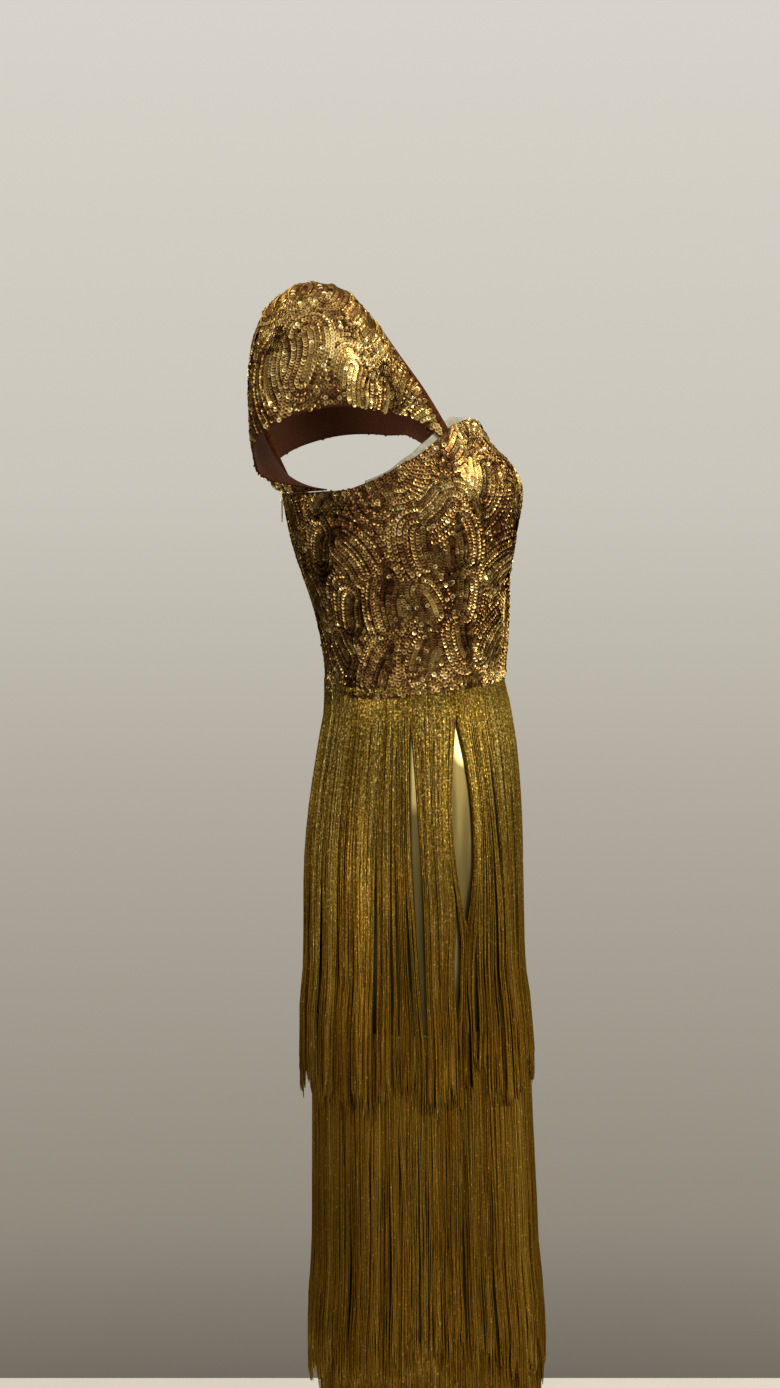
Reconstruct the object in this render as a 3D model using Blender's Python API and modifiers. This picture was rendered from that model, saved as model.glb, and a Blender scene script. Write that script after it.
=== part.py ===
"""Floor-length gown in its worn shape: a sequinned bodice with cap sleeves, a foil skirt, three tiers of fringe and a back zip.

Metres, +Z up. The front faces -Y and the wearer's left is +X. The origin is the middle of the bust line, inside the bodice.
Angles are in degrees round the body, from the centre front (0) towards the wearer's left (90) and the centre back (180).
"""

import bisect
import functools
import math
import random
from collections import namedtuple

import bmesh
import bpy
from mathutils import Matrix, Vector

# Cloth
BODICE_WALL = 0.0016
SLEEVE_WALL = 0.0016
SKIRT_WALL = 0.0015
TAPE_WALL = 0.0012
SEAM_GAP = 0.0003
EDGE_COLUMN = 0.025
SQUARENESS = 0.90

# Cups of the bodice
CUP_X = 0.085
CUP_SPREAD = 0.045
CUP_FADE = 0.35

# Hems
SKIRT_UNDERLAP = 0.022
SKIRT_HEM_Z = -1.200
# How far down the skirt each row of its wall lies, as a share of its length: close together at the waist.
SKIRT_ROWS = (0, 0.011, 0.021, 0.032, 0.044, 0.059, 0.080, 0.113, 0.157, 0.206, 0.260, 0.33, 0.43, 0.56, 0.76, 1)
TAPE_ABOVE_EDGE = 0.0085
TAPE_BELOW_EDGE = 0.0030
BINDING_WIDTH = 0.0080
BINDING_GAP = 0.0006
TAPE_GAP = 0.0007
SIDE_FRONT_COLUMNS = 9

# Back zip
ZIP_HALF_OPENING = 0.0028
ZIP_HALF_WIDTH = 0.0025
ZIP_THICKNESS = 0.0016
ZIP_TOP_Z = -0.0105
ZIP_END_Z = -0.386
ZIP_CROSSES_IN = (-0.176, -0.198)
CENTRE_BACK_CLOSES = (-0.392, -0.400)

# Zip slider and its pull tab
SLIDER_WIDTH = 0.0080
SLIDER_HEIGHT = 0.0120
SLIDER_TOP_Z = -0.0060
SLIDER_PLATE = 0.0012
SLIDER_NECK = 0.0026
AXIS_STANDOFF = 0.0010
RING_RADIUS = 0.0016
RING_THICKNESS = 0.0005
TAB_THICKNESS = 0.0012
TAB_BAR = 0.0005
TAB_EYE_DEPTH = 0.0027
TAB_EYE_HALF = 0.00125
TAB_TOP_HALF = 0.0023
TAB_FOOT_HALF = 0.0034
TAB_LENGTH = 0.0220

Level = namedtuple("Level", "z front back side cup")

# The bodice's outer face: its depth in front of and behind the origin, its half width, and how far a cup stands out.
BODICE_LEVELS = (
    Level(0.080, 0.0545, 0.1470, 0.1360, 0.0095),
    Level(0.067, 0.0600, 0.1455, 0.1375, 0.0131),
    Level(0.040, 0.0720, 0.1410, 0.1415, 0.0192),
    Level(0.020, 0.0820, 0.1365, 0.1445, 0.0290),
    Level(0.000, 0.0885, 0.1310, 0.1460, 0.0326),
    Level(-0.020, 0.0925, 0.1275, 0.1455, 0.0283),
    Level(-0.040, 0.0960, 0.1235, 0.1430, 0.0217),
    Level(-0.060, 0.0983, 0.1185, 0.1400, 0.0165),
    Level(-0.090, 0.1003, 0.1085, 0.1335, 0.0080),
    Level(-0.120, 0.1010, 0.0985, 0.1265, 0.0020),
    Level(-0.150, 0.0998, 0.0915, 0.1205, 0.0000),
    Level(-0.187, 0.0972, 0.0865, 0.1170, 0.0000),
    Level(-0.200, 0.0999, 0.0869, 0.1177, 0.0000),
    Level(-0.216, 0.1034, 0.0884, 0.1199, 0.0000),
)

# The skirt's outer face, in the same columns.
SKIRT_LEVELS = (
    Level(-0.160, 0.0935, 0.0850, 0.1150, 0.0000),
    Level(-0.187, 0.0923, 0.0816, 0.1121, 0.0000),
    Level(-0.200, 0.0950, 0.0820, 0.1128, 0.0000),
    Level(-0.216, 0.0985, 0.0835, 0.1150, 0.0000),
    Level(-0.237, 0.1018, 0.0865, 0.1205, 0.0000),
    Level(-0.268, 0.1062, 0.0915, 0.1300, 0.0000),
    Level(-0.320, 0.1100, 0.0995, 0.1460, 0.0000),
    Level(-0.371, 0.1118, 0.1042, 0.1590, 0.0000),
    Level(-0.423, 0.1127, 0.1053, 0.1665, 0.0000),
    Level(-0.474, 0.1135, 0.1020, 0.1690, 0.0000),
    Level(-0.526, 0.1160, 0.0952, 0.1675, 0.0000),
    Level(-0.583, 0.1195, 0.0918, 0.1645, 0.0000),
    Level(-0.660, 0.1232, 0.0905, 0.1590, 0.0000),
    Level(-0.750, 0.1275, 0.0895, 0.1530, 0.0000),
    Level(-0.850, 0.1312, 0.0885, 0.1495, 0.0000),
    Level(-0.950, 0.1325, 0.0875, 0.1470, 0.0000),
    Level(-1.100, 0.1320, 0.0870, 0.1460, 0.0000),
    Level(-1.230, 0.1310, 0.0870, 0.1460, 0.0000),
)

EdgePoint = namedtuple("EdgePoint", "angle z")

# The neckline and the bodice's hem, the same on both sides.
TOP_EDGE = (
    EdgePoint(0, 0.02),
    EdgePoint(12, 0.03),
    EdgePoint(22, 0.054),
    EdgePoint(30, 0.065),
    EdgePoint(40, 0.066),
    EdgePoint(47, 0.0645),
    EdgePoint(56, 0.06),
    EdgePoint(63, 0.0555),
    EdgePoint(70, 0.0485),
    EdgePoint(75, 0.042),
    EdgePoint(83, 0.0315),
    EdgePoint(91, 0.0215),
    EdgePoint(99.5, 0.008),
    EdgePoint(108, 0.0),
    EdgePoint(118, -0.006),
    EdgePoint(140, -0.007),
    EdgePoint(180, -0.004),
)
BODICE_HEM = (
    EdgePoint(0, -0.187),
    EdgePoint(40, -0.197),
    EdgePoint(59, -0.200),
    EdgePoint(73, -0.204),
    EdgePoint(93, -0.208),
    EdgePoint(120, -0.211),
    EdgePoint(149, -0.207),
    EdgePoint(180, -0.203),
)

SeamPoint = namedtuple("SeamPoint", "z angle")

PRINCESS_SEAM = (
    SeamPoint(0.080, 44.0),
    SeamPoint(0.000, 36.0),
    SeamPoint(-0.060, 34.0),
    SeamPoint(-0.216, 33.0),
)
SIDE_SEAM = (
    SeamPoint(0.000, 108.0),
    SeamPoint(-0.046, 105.0),
    SeamPoint(-0.103, 99.0),
    SeamPoint(-0.184, 92.5),
    SeamPoint(-0.216, 91.0),
)
SIDE_BACK_SEAM = (SeamPoint(0.000, 146.0), SeamPoint(-0.216, 150.0))
SKIRT_SIDE_SEAM = (SeamPoint(-0.160, 92.0), SeamPoint(-1.230, 90.0))
CENTRE_BACK = (SeamPoint(0.080, 180.0), SeamPoint(-1.230, 180.0))

Crease = namedtuple("Crease", "angle z half_angle half_height depth")

# Soft troughs in the bodice, where it gives at the waist. They stay above the hem.
BODICE_CREASES = (
    Crease(67, -0.108, 7.0, 0.044, 0.0030),
    Crease(49, -0.040, 4.5, 0.030, 0.0024),
    Crease(84, -0.135, 5.0, 0.036, 0.0020),
    Crease(122, -0.120, 7.0, 0.048, 0.0026),
    Crease(160, -0.125, 6.0, 0.044, 0.0020),
    Crease(17, -0.120, 6.0, 0.040, 0.0018),
)

Station = namedtuple("Station", "neck crown hem")

# The left sleeve from front to back: its neck edge, its crown and its hem.
SLEEVE_STATIONS = (
    Station((0.1290, -0.0140, 0.0900), (0.1385, -0.0080, 0.0800), (0.1405, 0.0000, 0.0640)),
    Station((0.1270, 0.0100, 0.1220), (0.1530, 0.0120, 0.1030), (0.1590, 0.0220, 0.0660)),
    Station((0.1250, 0.0340, 0.1545), (0.1700, 0.0340, 0.1275), (0.1810, 0.0450, 0.0690)),
    Station((0.1220, 0.0610, 0.1840), (0.1845, 0.0600, 0.1500), (0.1995, 0.0720, 0.0690)),
    Station((0.1190, 0.0890, 0.1940), (0.1895, 0.0920, 0.1565), (0.2060, 0.0990, 0.0640)),
    Station((0.1140, 0.1145, 0.1915), (0.1830, 0.1275, 0.1475), (0.2000, 0.1280, 0.0530)),
    Station((0.1080, 0.1390, 0.1680), (0.1660, 0.1520, 0.1230), (0.1820, 0.1485, 0.0370)),
    Station((0.0980, 0.1520, 0.1190), (0.1420, 0.1550, 0.0825), (0.1570, 0.1505, 0.0200)),
    Station((0.0840, 0.1480, 0.0640), (0.1170, 0.1520, 0.0390), (0.1330, 0.1390, 0.0040)),
)
SLEEVE_FRONT_ANGLES = (66.0, 73.0)
SLEEVE_BACK_ANGLES = (153.0, 127.0)
SLEEVE_LIFT = 0.0008
SLEEVE_END_OUT = 0.0006

Tier = namedtuple("Tier", "name strands top_z standoff length rise levels seed")

# A tier's top edge is at top_z, or above the bodice's hem where that is None, and its strip stands off the skirt.
# Its strands are shorter by rise at the sides.
TIERS = (
    Tier("fringe_tier_1", 66, None, 0.0006, 0.403, 0.000, (0.07, 0.16, 0.27, 0.39, 0.52, 0.76, 1.0), 11),
    Tier("fringe_tier_2", 64, -0.533, 0.0012, 0.362, 0.045, (0.38, 0.78, 1.0), 12),
    Tier("fringe_tier_3", 64, -0.838, 0.0006, 0.362, 0.000, (0.50, 1.0), 13),
)
HEADER_HEIGHT = 0.013
HEADER_ABOVE_HEM = 0.010
STRAND_THICKNESS = 0.0018
STRAND_ROOT_WIDTH = 0.0052
STRAND_WIDTH = 0.0078
STRAND_STANDOFF = 0.0022
STRAND_FILL = 0.62
STRAND_RAMP = 0.020
NEXT_TIER_STANDOFF = 0.0054
NEXT_TIER_RAMP = 0.060
FRINGE_BACK_GAP = 0.0040
LENGTH_SPREAD = 0.010

Parting = namedtuple("Parting", "angle top bottom half_angle")

# Where the first tier parts and the skirt shows.
PARTINGS = (
    Parting(-67, -0.238, -0.430, 5.6),
    Parting(-90, -0.240, -0.600, 2.0),
    Parting(68, -0.260, -0.600, 4.0),
    Parting(-28, -0.270, -0.560, 2.2),
    Parting(133, -0.260, -0.610, 3.6),
)

GOLD_SEQUIN = (0.55, 0.34, 0.10)
GOLD_FOIL = (0.62, 0.47, 0.20)
GOLD_FRINGE = (0.42, 0.29, 0.08)
BROWN_EDGE = (0.16, 0.07, 0.03)
PALE_TAPE = (0.62, 0.60, 0.50)
GOLD_METAL = (0.70, 0.52, 0.22)


def smooth_value(rows, key, value, at):
    """The value of a column at a place in another, by a cubic curve through the rows that never overshoots them."""
    rows = sorted(rows, key=lambda row: getattr(row, key))
    x = [getattr(row, key) for row in rows]
    y = [getattr(row, value) for row in rows]
    if at <= x[0]:
        return y[0]
    if at >= x[-1]:
        return y[-1]
    i = bisect.bisect_right(x, at) - 1
    slopes = [(y[k + 1] - y[k]) / (x[k + 1] - x[k]) for k in range(len(x) - 1)]

    def tangent(k):
        if k in (0, len(x) - 1):
            return slopes[min(k, len(slopes) - 1)]
        before, after = slopes[k - 1], slopes[k]
        return 2 * before * after / (before + after) if before * after > 0 else 0.0

    span = x[i + 1] - x[i]
    t = (at - x[i]) / span
    rise = (y[i + 1] - y[i]) * t * t * (3 - 2 * t)
    return y[i] + rise + span * (tangent(i) * t * (1 - t) ** 2 - tangent(i + 1) * t * t * (1 - t))


def smooth_step(value):
    """0 below 0, 1 above 1 and smooth between."""
    value = min(1.0, max(0.0, value))
    return value * value * (3 - 2 * value)


def powered(value):
    """A sine or cosine made a little squarer, as a torso's section is."""
    return math.copysign(abs(value) ** SQUARENESS, value)


def section_point(level, angle, z):
    """A point of the closed section that a level's sizes give."""
    sine = math.sin(math.radians(angle))
    cosine = math.cos(math.radians(angle))
    x = level.side * powered(sine)
    y = -(level.front if cosine > 0 else level.back) * powered(cosine)
    cups = sum(math.exp(-(((x - centre) / CUP_SPREAD) ** 2)) for centre in (-CUP_X, CUP_X))
    return Vector((x, y - level.cup * cups * smooth_step(cosine / CUP_FADE), z))


@functools.lru_cache(maxsize=None)
def level_at(levels, z):
    """The section sizes at a height, read from a table of levels."""
    return Level(z, *(smooth_value(levels, "z", column, z) for column in Level._fields[1:]))


def moved_out(surface, angle, z, distance):
    """A point of a surface moved along its outward normal."""
    here = surface(angle, z)
    around = surface(angle + 0.5, z) - surface(angle - 0.5, z)
    up = surface(angle, z + 0.001) - surface(angle, z - 0.001)
    return here + around.cross(up).normalized() * distance


def bodice_crease(angle, z):
    """How deep the bodice's soft troughs are at a place."""
    depth = 0.0
    for crease in BODICE_CREASES:
        across = (abs(angle) - crease.angle) / crease.half_angle
        along = (z - crease.z) / crease.half_height
        if abs(along) < 1:
            depth += crease.depth * math.exp(-across * across) * (1 - along * along) ** 2
    return depth


def bodice_surface(angle, z):
    """The bodice's outer face."""
    point = section_point(level_at(BODICE_LEVELS, z), angle, z)
    inward = Vector((-point.x, -point.y, 0)).normalized()
    return point + inward * bodice_crease(angle, z)


def skirt_surface(angle, z):
    """The skirt's outer face."""
    return section_point(level_at(SKIRT_LEVELS, z), angle, z)


def top_edge_z(angle):
    return smooth_value(TOP_EDGE, "angle", "z", abs(angle))


def bodice_hem_z(angle):
    return smooth_value(BODICE_HEM, "angle", "z", abs(angle))


def skirt_top_z(angle):
    return bodice_hem_z(angle) + SKIRT_UNDERLAP


def skirt_hem_z(angle):
    return SKIRT_HEM_Z


def seam_angle(seam, side, z):
    return side * smooth_value(seam, "z", "angle", z)


def centre_back_opening(z):
    """Half the gap at the centre back: the zip's width, then a closed seam."""
    start, end = CENTRE_BACK_CLOSES
    closed = smooth_step((start - z) / (start - end))
    return ZIP_HALF_OPENING * (1 - closed) + SEAM_GAP / 2 * closed


def seam_gap(z):
    return SEAM_GAP / 2


def shifted(surface, angle, z, distance):
    """The angle of the point that lies this distance further round the surface."""
    per_degree = (surface(angle + 0.5, z) - surface(angle - 0.5, z)).length
    return angle + distance / per_degree


def panel_place(surface, low_z, high_z, edges, u, v):
    """The angle and height of a panel's point: u goes from its first edge to its second, v from low_z to high_z."""
    (seam_a, side_a, gap_a), (seam_b, side_b, gap_b) = edges
    angle = seam_angle(seam_a, side_a, 0) * (1 - u) + seam_angle(seam_b, side_b, 0) * u
    for _ in range(8):
        z = low_z(angle) + v * (high_z(angle) - low_z(angle))
        first = shifted(surface, seam_angle(seam_a, side_a, z), z, gap_a(z))
        last = shifted(surface, seam_angle(seam_b, side_b, z), z, -gap_b(z))
        angle = first + (last - first) * u
    return angle, z


def edge_spaced(share, count):
    """Evenly spaced columns, with a narrow one along each edge so that the wall's edge stands square."""
    step = round(share * count)
    if step in (0, count):
        return share
    return EDGE_COLUMN + (1 - 2 * EDGE_COLUMN) * (step - 1) / (count - 2)


def new_collection(name):
    collection = bpy.data.collections.new(name)
    bpy.context.scene.collection.children.link(collection)
    return collection


def material(name, colour, roughness, metallic):
    made = bpy.data.materials.new(name)
    made.use_nodes = True
    shader = made.node_tree.nodes["Principled BSDF"]
    shader.inputs["Base Color"].default_value = (*colour, 1)
    shader.inputs["Roughness"].default_value = roughness
    shader.inputs["Metallic"].default_value = metallic
    made.diffuse_color = (*colour, 1)
    return made


def add_object(name, data, look, collection):
    made = bpy.data.objects.new(name, data)
    collection.objects.link(made)
    data.materials.append(look)
    return made


def object_from(bm, name, look, collection):
    mesh = bpy.data.meshes.new(name)
    bm.to_mesh(mesh)
    bm.free()
    mesh.shade_smooth()
    return add_object(name, mesh, look, collection)


def thicken(made, thickness):
    """Gives an open surface its wall, inwards from its outer face."""
    wall = made.modifiers.new("wall", "SOLIDIFY")
    wall.thickness = thickness
    wall.offset = -1
    wall.use_even_offset = True
    wall.use_quality_normals = True


def cloth(name, place, columns, rows, wall, look, collection):
    """A wall of cloth: a flat grid whose points go where place(u, v) says."""
    bm = bmesh.new()
    bmesh.ops.create_grid(bm, x_segments=columns, y_segments=rows, size=0.5)
    for vert in bm.verts:
        vert.co = place(vert.co.x + 0.5, vert.co.y + 0.5)
    made = object_from(bm, name, look, collection)
    thicken(made, wall)
    return made


def bodice_panels(look, collection):
    """The seven panels of the bodice, from the centre front to the centre back on each side."""
    front = ((PRINCESS_SEAM, -1, seam_gap), (PRINCESS_SEAM, 1, seam_gap))
    panels = [("bodice_front", front, 10)]
    for side, word in ((-1, "right"), (1, "left")):
        seams = (
            (PRINCESS_SEAM, side, seam_gap),
            (SIDE_SEAM, side, seam_gap),
            (SIDE_BACK_SEAM, side, seam_gap),
            (CENTRE_BACK, side, centre_back_opening),
        )
        for k, (piece, columns) in enumerate((("side_front", SIDE_FRONT_COLUMNS), ("side_back", 6), ("back", 5))):
            edges = seams[k : k + 2] if side > 0 else seams[k : k + 2][::-1]
            panels.append((f"bodice_{piece}_{word}", edges, columns))
    for name, edges, columns in panels:

        def place(u, v, edges=edges, columns=columns):
            u = edge_spaced(u, columns)
            return bodice_surface(*panel_place(bodice_surface, bodice_hem_z, top_edge_z, edges, u, v))

        cloth(name, place, columns, 10, BODICE_WALL, look, collection)


def skirt_panels(look, collection):
    """The foil skirt's front panel and its two back panels."""
    side_right = (SKIRT_SIDE_SEAM, -1, seam_gap)
    side_left = (SKIRT_SIDE_SEAM, 1, seam_gap)
    back_right = (CENTRE_BACK, -1, centre_back_opening)
    back_left = (CENTRE_BACK, 1, centre_back_opening)
    panels = (
        ("skirt_front", (side_right, side_left), 20),
        ("skirt_back_right", (back_right, side_right), 11),
        ("skirt_back_left", (side_left, back_left), 11),
    )
    rows = len(SKIRT_ROWS) - 1
    for name, edges, columns in panels:

        def place(u, v, edges=edges, columns=columns):
            u = edge_spaced(u, columns)
            height = 1 - SKIRT_ROWS[round((1 - v) * rows)]
            return skirt_surface(*panel_place(skirt_surface, skirt_hem_z, skirt_top_z, edges, u, height))

        cloth(name, place, columns, rows, SKIRT_WALL, look, collection)


def spline_point(points, t):
    """A point of the smooth curve through the points, t from 0 to 1."""
    span = t * (len(points) - 1)
    i = min(int(span), len(points) - 2)
    f = span - i
    before, start, end, after = (points[min(max(k, 0), len(points) - 1)] for k in range(i - 1, i + 3))
    return 0.5 * (
        2 * start
        + (end - before) * f
        + (2 * before - 5 * start + 4 * end - after) * f * f
        + (3 * start - before - 3 * end + after) * f * f * f
    )


def end_station(angles, inset):
    """Where a sleeve meets the bodice's top edge, between two angles."""
    points = []
    for angle in (angles[0], sum(angles) / 2, angles[1]):
        z = top_edge_z(angle)
        points.append(moved_out(bodice_surface, angle, z, -inset) + Vector((0, 0, SLEEVE_LIFT)))
    return Station(*points)


def sleeve_surface(u, v):
    """The left sleeve's outer face: u from its front to its back, v from its neck edge to its hem."""
    front = end_station(SLEEVE_FRONT_ANGLES, -SLEEVE_END_OUT)
    back = end_station(SLEEVE_BACK_ANGLES, 0.0)
    stations = [front, *SLEEVE_STATIONS, back]
    neck, crown, hem = (
        spline_point([Vector(getattr(station, line)) for station in stations], u)
        for line in Station._fields
    )
    return neck * (2 * v - 1) * (v - 1) + crown * 4 * v * (1 - v) + hem * v * (2 * v - 1)


def sleeve_width(u):
    """The sleeve's width at a station, measured over its crown."""
    return sum((sleeve_surface(u, (k + 1) / 8) - sleeve_surface(u, k / 8)).length for k in range(8))


def mirrored_place(place, side):
    """The same surface on either side of the body, with its outer face still outside."""

    def placed(u, v):
        point = place(u if side < 0 else 1 - u, v)
        return Vector((side * point.x, point.y, point.z))

    return placed


def sleeves(cloth_look, edge_look, collection):
    """The two cap sleeves, and the brown bound edge on the neck side of each."""

    def cap(u, v):
        start = (BINDING_WIDTH + BINDING_GAP) / sleeve_width(u)
        return sleeve_surface(u, start + (1 - start) * v)

    def bound_edge(u, v):
        return sleeve_surface(u, BINDING_WIDTH / sleeve_width(u) * v)

    for side, word in ((-1, "right"), (1, "left")):
        cloth(f"sleeve_{word}", mirrored_place(cap, side), 20, 8, SLEEVE_WALL, cloth_look, collection)
        edge = mirrored_place(bound_edge, side)
        cloth(f"sleeve_edge_{word}", edge, 20, 1, TAPE_WALL, edge_look, collection)


def tape_rise(angle):
    """How far the pale tape stands above the edge: most of all below the sleeve's front end."""
    over_cup = smooth_step((abs(angle) - 46) / 16)
    under_arm = smooth_step((98 - abs(angle)) / 14)
    return TAPE_ABOVE_EDGE * (0.35 + 0.65 * over_cup) * (0.3 + 0.7 * under_arm)


def neckline_tapes(look, collection):
    """The pale tape sewn inside the bodice's edge beside each arm, standing a little above it."""
    columns = SIDE_FRONT_COLUMNS
    for side, word in ((-1, "right"), (1, "left")):
        edges = ((PRINCESS_SEAM, side, seam_gap), (SIDE_SEAM, side, seam_gap))[::side]

        def tape(u, v, edges=edges):
            u = edge_spaced(u, columns)
            angle, z = panel_place(bodice_surface, bodice_hem_z, top_edge_z, edges, u, 1)
            below = TAPE_BELOW_EDGE * max(0.0, 1 - 2 * v)
            above = tape_rise(angle) * max(0.0, 2 * v - 1)
            return moved_out(bodice_surface, angle, z - below + above, -BODICE_WALL - TAPE_GAP)

        cloth(f"neckline_tape_{word}", tape, columns, 2, TAPE_WALL, look, collection)


def parted_angle(angle, z):
    """Where a strand lies at a height, pushed aside by the partings."""
    for parting in PARTINGS:
        if not parting.bottom < z < parting.top:
            continue
        along = (parting.top - z) / (parting.top - parting.bottom)
        push = parting.half_angle * math.sin(math.pi * along) ** 0.8
        away = angle - parting.angle
        angle = parting.angle + math.copysign(math.hypot(away, push), away)
    return angle


def hanging_level(z, from_z):
    """The skirt's sizes that strands hang clear of: the largest between the tier's top and this height."""
    steps = max(1, math.ceil((from_z - z) / 0.02))
    passed = [level_at(SKIRT_LEVELS, from_z + (z - from_z) * k / steps) for k in range(steps + 1)]
    return Level(z, *(max(getattr(level, column) for level in passed) for column in Level._fields[1:]))


def tier_top_z(tier, angle):
    return bodice_hem_z(angle) + HEADER_ABOVE_HEM if tier.top_z is None else tier.top_z


def strand_standoff(tier, z, root_z):
    """How far a strand's inner face stands off the skirt: more where it lies over the next tier."""
    start = smooth_step((root_z - HEADER_HEIGHT - z) / STRAND_RAMP)
    standoff = tier.standoff + (STRAND_STANDOFF - tier.standoff) * start
    below = [other.top_z for other in TIERS if other.top_z is not None and other.top_z < root_z]
    if below:
        over = smooth_step((max(below) + NEXT_TIER_RAMP - z) / NEXT_TIER_RAMP)
        standoff += (NEXT_TIER_STANDOFF - STRAND_STANDOFF) * over
    return standoff


def strand_pair(tier, angle, step, z, root_z, width):
    """The two points of a strand's outer face at a height. It narrows where its neighbours crowd it."""
    level = hanging_level(z, root_z)
    before, here, after = (
        section_point(level, parted_angle(place, z) if tier.top_z is None else place, z)
        for place in (angle - step, angle, angle + step)
    )
    crowded = min((here - before).length, (after - here).length)
    width = min(width, STRAND_FILL * crowded)
    placed = parted_angle(angle, z) if tier.top_z is None else angle
    around = section_point(level, placed + 0.5, z) - section_point(level, placed - 0.5, z)
    around.normalize()
    out = Vector((around.y, -around.x, 0))
    centre = here + out * (strand_standoff(tier, z, root_z) + STRAND_THICKNESS)
    return centre - around * width / 2, centre + around * width / 2


def fringe(tier, look, collection):
    """A tier of fringe: a narrow strip round the skirt, open at the centre back, with its strands hanging from it."""
    spread = random.Random(tier.seed)
    span = 360 - 2 * math.degrees(FRINGE_BACK_GAP / BODICE_LEVELS[-1].back)
    bm = bmesh.new()
    before = None
    step = span / tier.strands
    for k in range(tier.strands):
        angle = -span / 2 + step * (k + 0.5)
        top_z = tier_top_z(tier, angle)
        root_z = top_z - HEADER_HEIGHT
        width = STRAND_ROOT_WIDTH
        upper = [bm.verts.new(p) for p in strand_pair(tier, angle, step, top_z, top_z, width)]
        lower = [bm.verts.new(p) for p in strand_pair(tier, angle, step, root_z, top_z, width)]
        bm.faces.new((lower[0], lower[1], upper[1], upper[0]))
        if before:
            bm.faces.new((before[1], lower[0], upper[0], before[0]))
        before = (upper[1], lower[1])
        side_share = math.sin(math.radians(angle)) ** 2
        length = tier.length - tier.rise * side_share + spread.uniform(-1, 1) * LENGTH_SPREAD
        for share in tier.levels:
            width = STRAND_ROOT_WIDTH + (STRAND_WIDTH - STRAND_ROOT_WIDTH) * min(1.0, share * 4)
            pair = strand_pair(tier, angle, step, root_z - length * share, top_z, width)
            points = [bm.verts.new(p) for p in pair]
            bm.faces.new((points[0], points[1], lower[1], lower[0]))
            lower = points
    thicken(object_from(bm, tier.name, look, collection), STRAND_THICKNESS)


def zip_middle_y(z):
    """The middle of the wall that the zip joins: the bodice's, and below its hem the skirt's."""
    bodice_y = bodice_surface(180, z).y - BODICE_WALL / 2
    skirt_y = skirt_surface(180, z).y - SKIRT_WALL / 2
    start, end = ZIP_CROSSES_IN
    return bodice_y + (skirt_y - bodice_y) * smooth_step((start - z) / (start - end))


def zip_chain(look, collection):
    """The closed rows of teeth, as one strip down the centre back."""

    def place(u, v):
        z = ZIP_END_Z + (ZIP_TOP_Z - ZIP_END_Z) * v
        return Vector((ZIP_HALF_WIDTH * (1 - 2 * u), zip_middle_y(z) + ZIP_THICKNESS / 2, z))

    cloth("zip_chain", place, 1, 24, ZIP_THICKNESS, look, collection)


def block(name, size, centre, collection):
    """A box of the given size round a centre."""
    mesh = bpy.data.meshes.new(name)
    bm = bmesh.new()
    bmesh.ops.create_cube(bm, size=1.0, matrix=Matrix.Translation(centre) @ Matrix.Diagonal((*size, 1)))
    bm.to_mesh(mesh)
    bm.free()
    made = bpy.data.objects.new(name, mesh)
    collection.objects.link(made)
    return made


def join_to(target, helpers):
    """Unites helper solids with a target. The helpers themselves aren't shown."""
    for helper in helpers:
        helper.parent = target
        helper.hide_render = True
        helper.display_type = "WIRE"
        union = target.modifiers.new(helper.name, "BOOLEAN")
        union.operation = "UNION"
        union.object = helper


def slider_frame():
    """The slider's place and lean: its origin is on the cloth's middle, and its own Z runs up the cloth."""
    z = SLIDER_TOP_Z - SLIDER_HEIGHT / 2
    lean = math.atan2(zip_middle_y(z + 0.01) - zip_middle_y(z - 0.01), 0.02)
    return Vector((0, zip_middle_y(z), z)), -lean


def tab_axis():
    """The pull tab's axis, in the slider's own frame."""
    face = BODICE_WALL / 2 + SEAM_GAP + SLIDER_PLATE
    return Vector((0, face + AXIS_STANDOFF, SLIDER_HEIGHT * 0.12))


def zip_slider(look, collection, helpers):
    """Two plates either side of the cloth, the neck between them, and the ring that holds the tab."""
    inner = BODICE_WALL / 2 + SEAM_GAP
    plate = (SLIDER_WIDTH, SLIDER_PLATE, SLIDER_HEIGHT)
    made = block("zip_slider", plate, (0, inner + SLIDER_PLATE / 2, 0), collection)
    made.data.materials.append(look)
    back = block("slider_back", plate, (0, -inner - SLIDER_PLATE / 2, 0), helpers)
    neck_size = (0.0036, 2 * inner + SLIDER_PLATE, SLIDER_NECK)
    neck = block("slider_neck", neck_size, (0, 0, (SLIDER_HEIGHT - SLIDER_NECK) / 2), helpers)
    bpy.ops.mesh.primitive_torus_add(
        major_radius=RING_RADIUS,
        minor_radius=RING_THICKNESS,
        major_segments=24,
        minor_segments=8,
        rotation=(0, math.pi / 2, 0),
    )
    ring = bpy.context.object
    ring.name = "slider_ring"
    ring.location = tab_axis()
    for collection_now in list(ring.users_collection):
        collection_now.objects.unlink(ring)
    helpers.objects.link(ring)
    join_to(made, (back, neck, ring))
    made.location, lean = slider_frame()
    made.rotation_euler = (lean, 0, 0)


def outline_spline(curve, points):
    spline = curve.splines.new("POLY")
    spline.points.add(len(points) - 1)
    for point, (x, y) in zip(spline.points, points):
        point.co = (x, y, 0, 1)
    spline.use_cyclic_u = True


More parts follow.
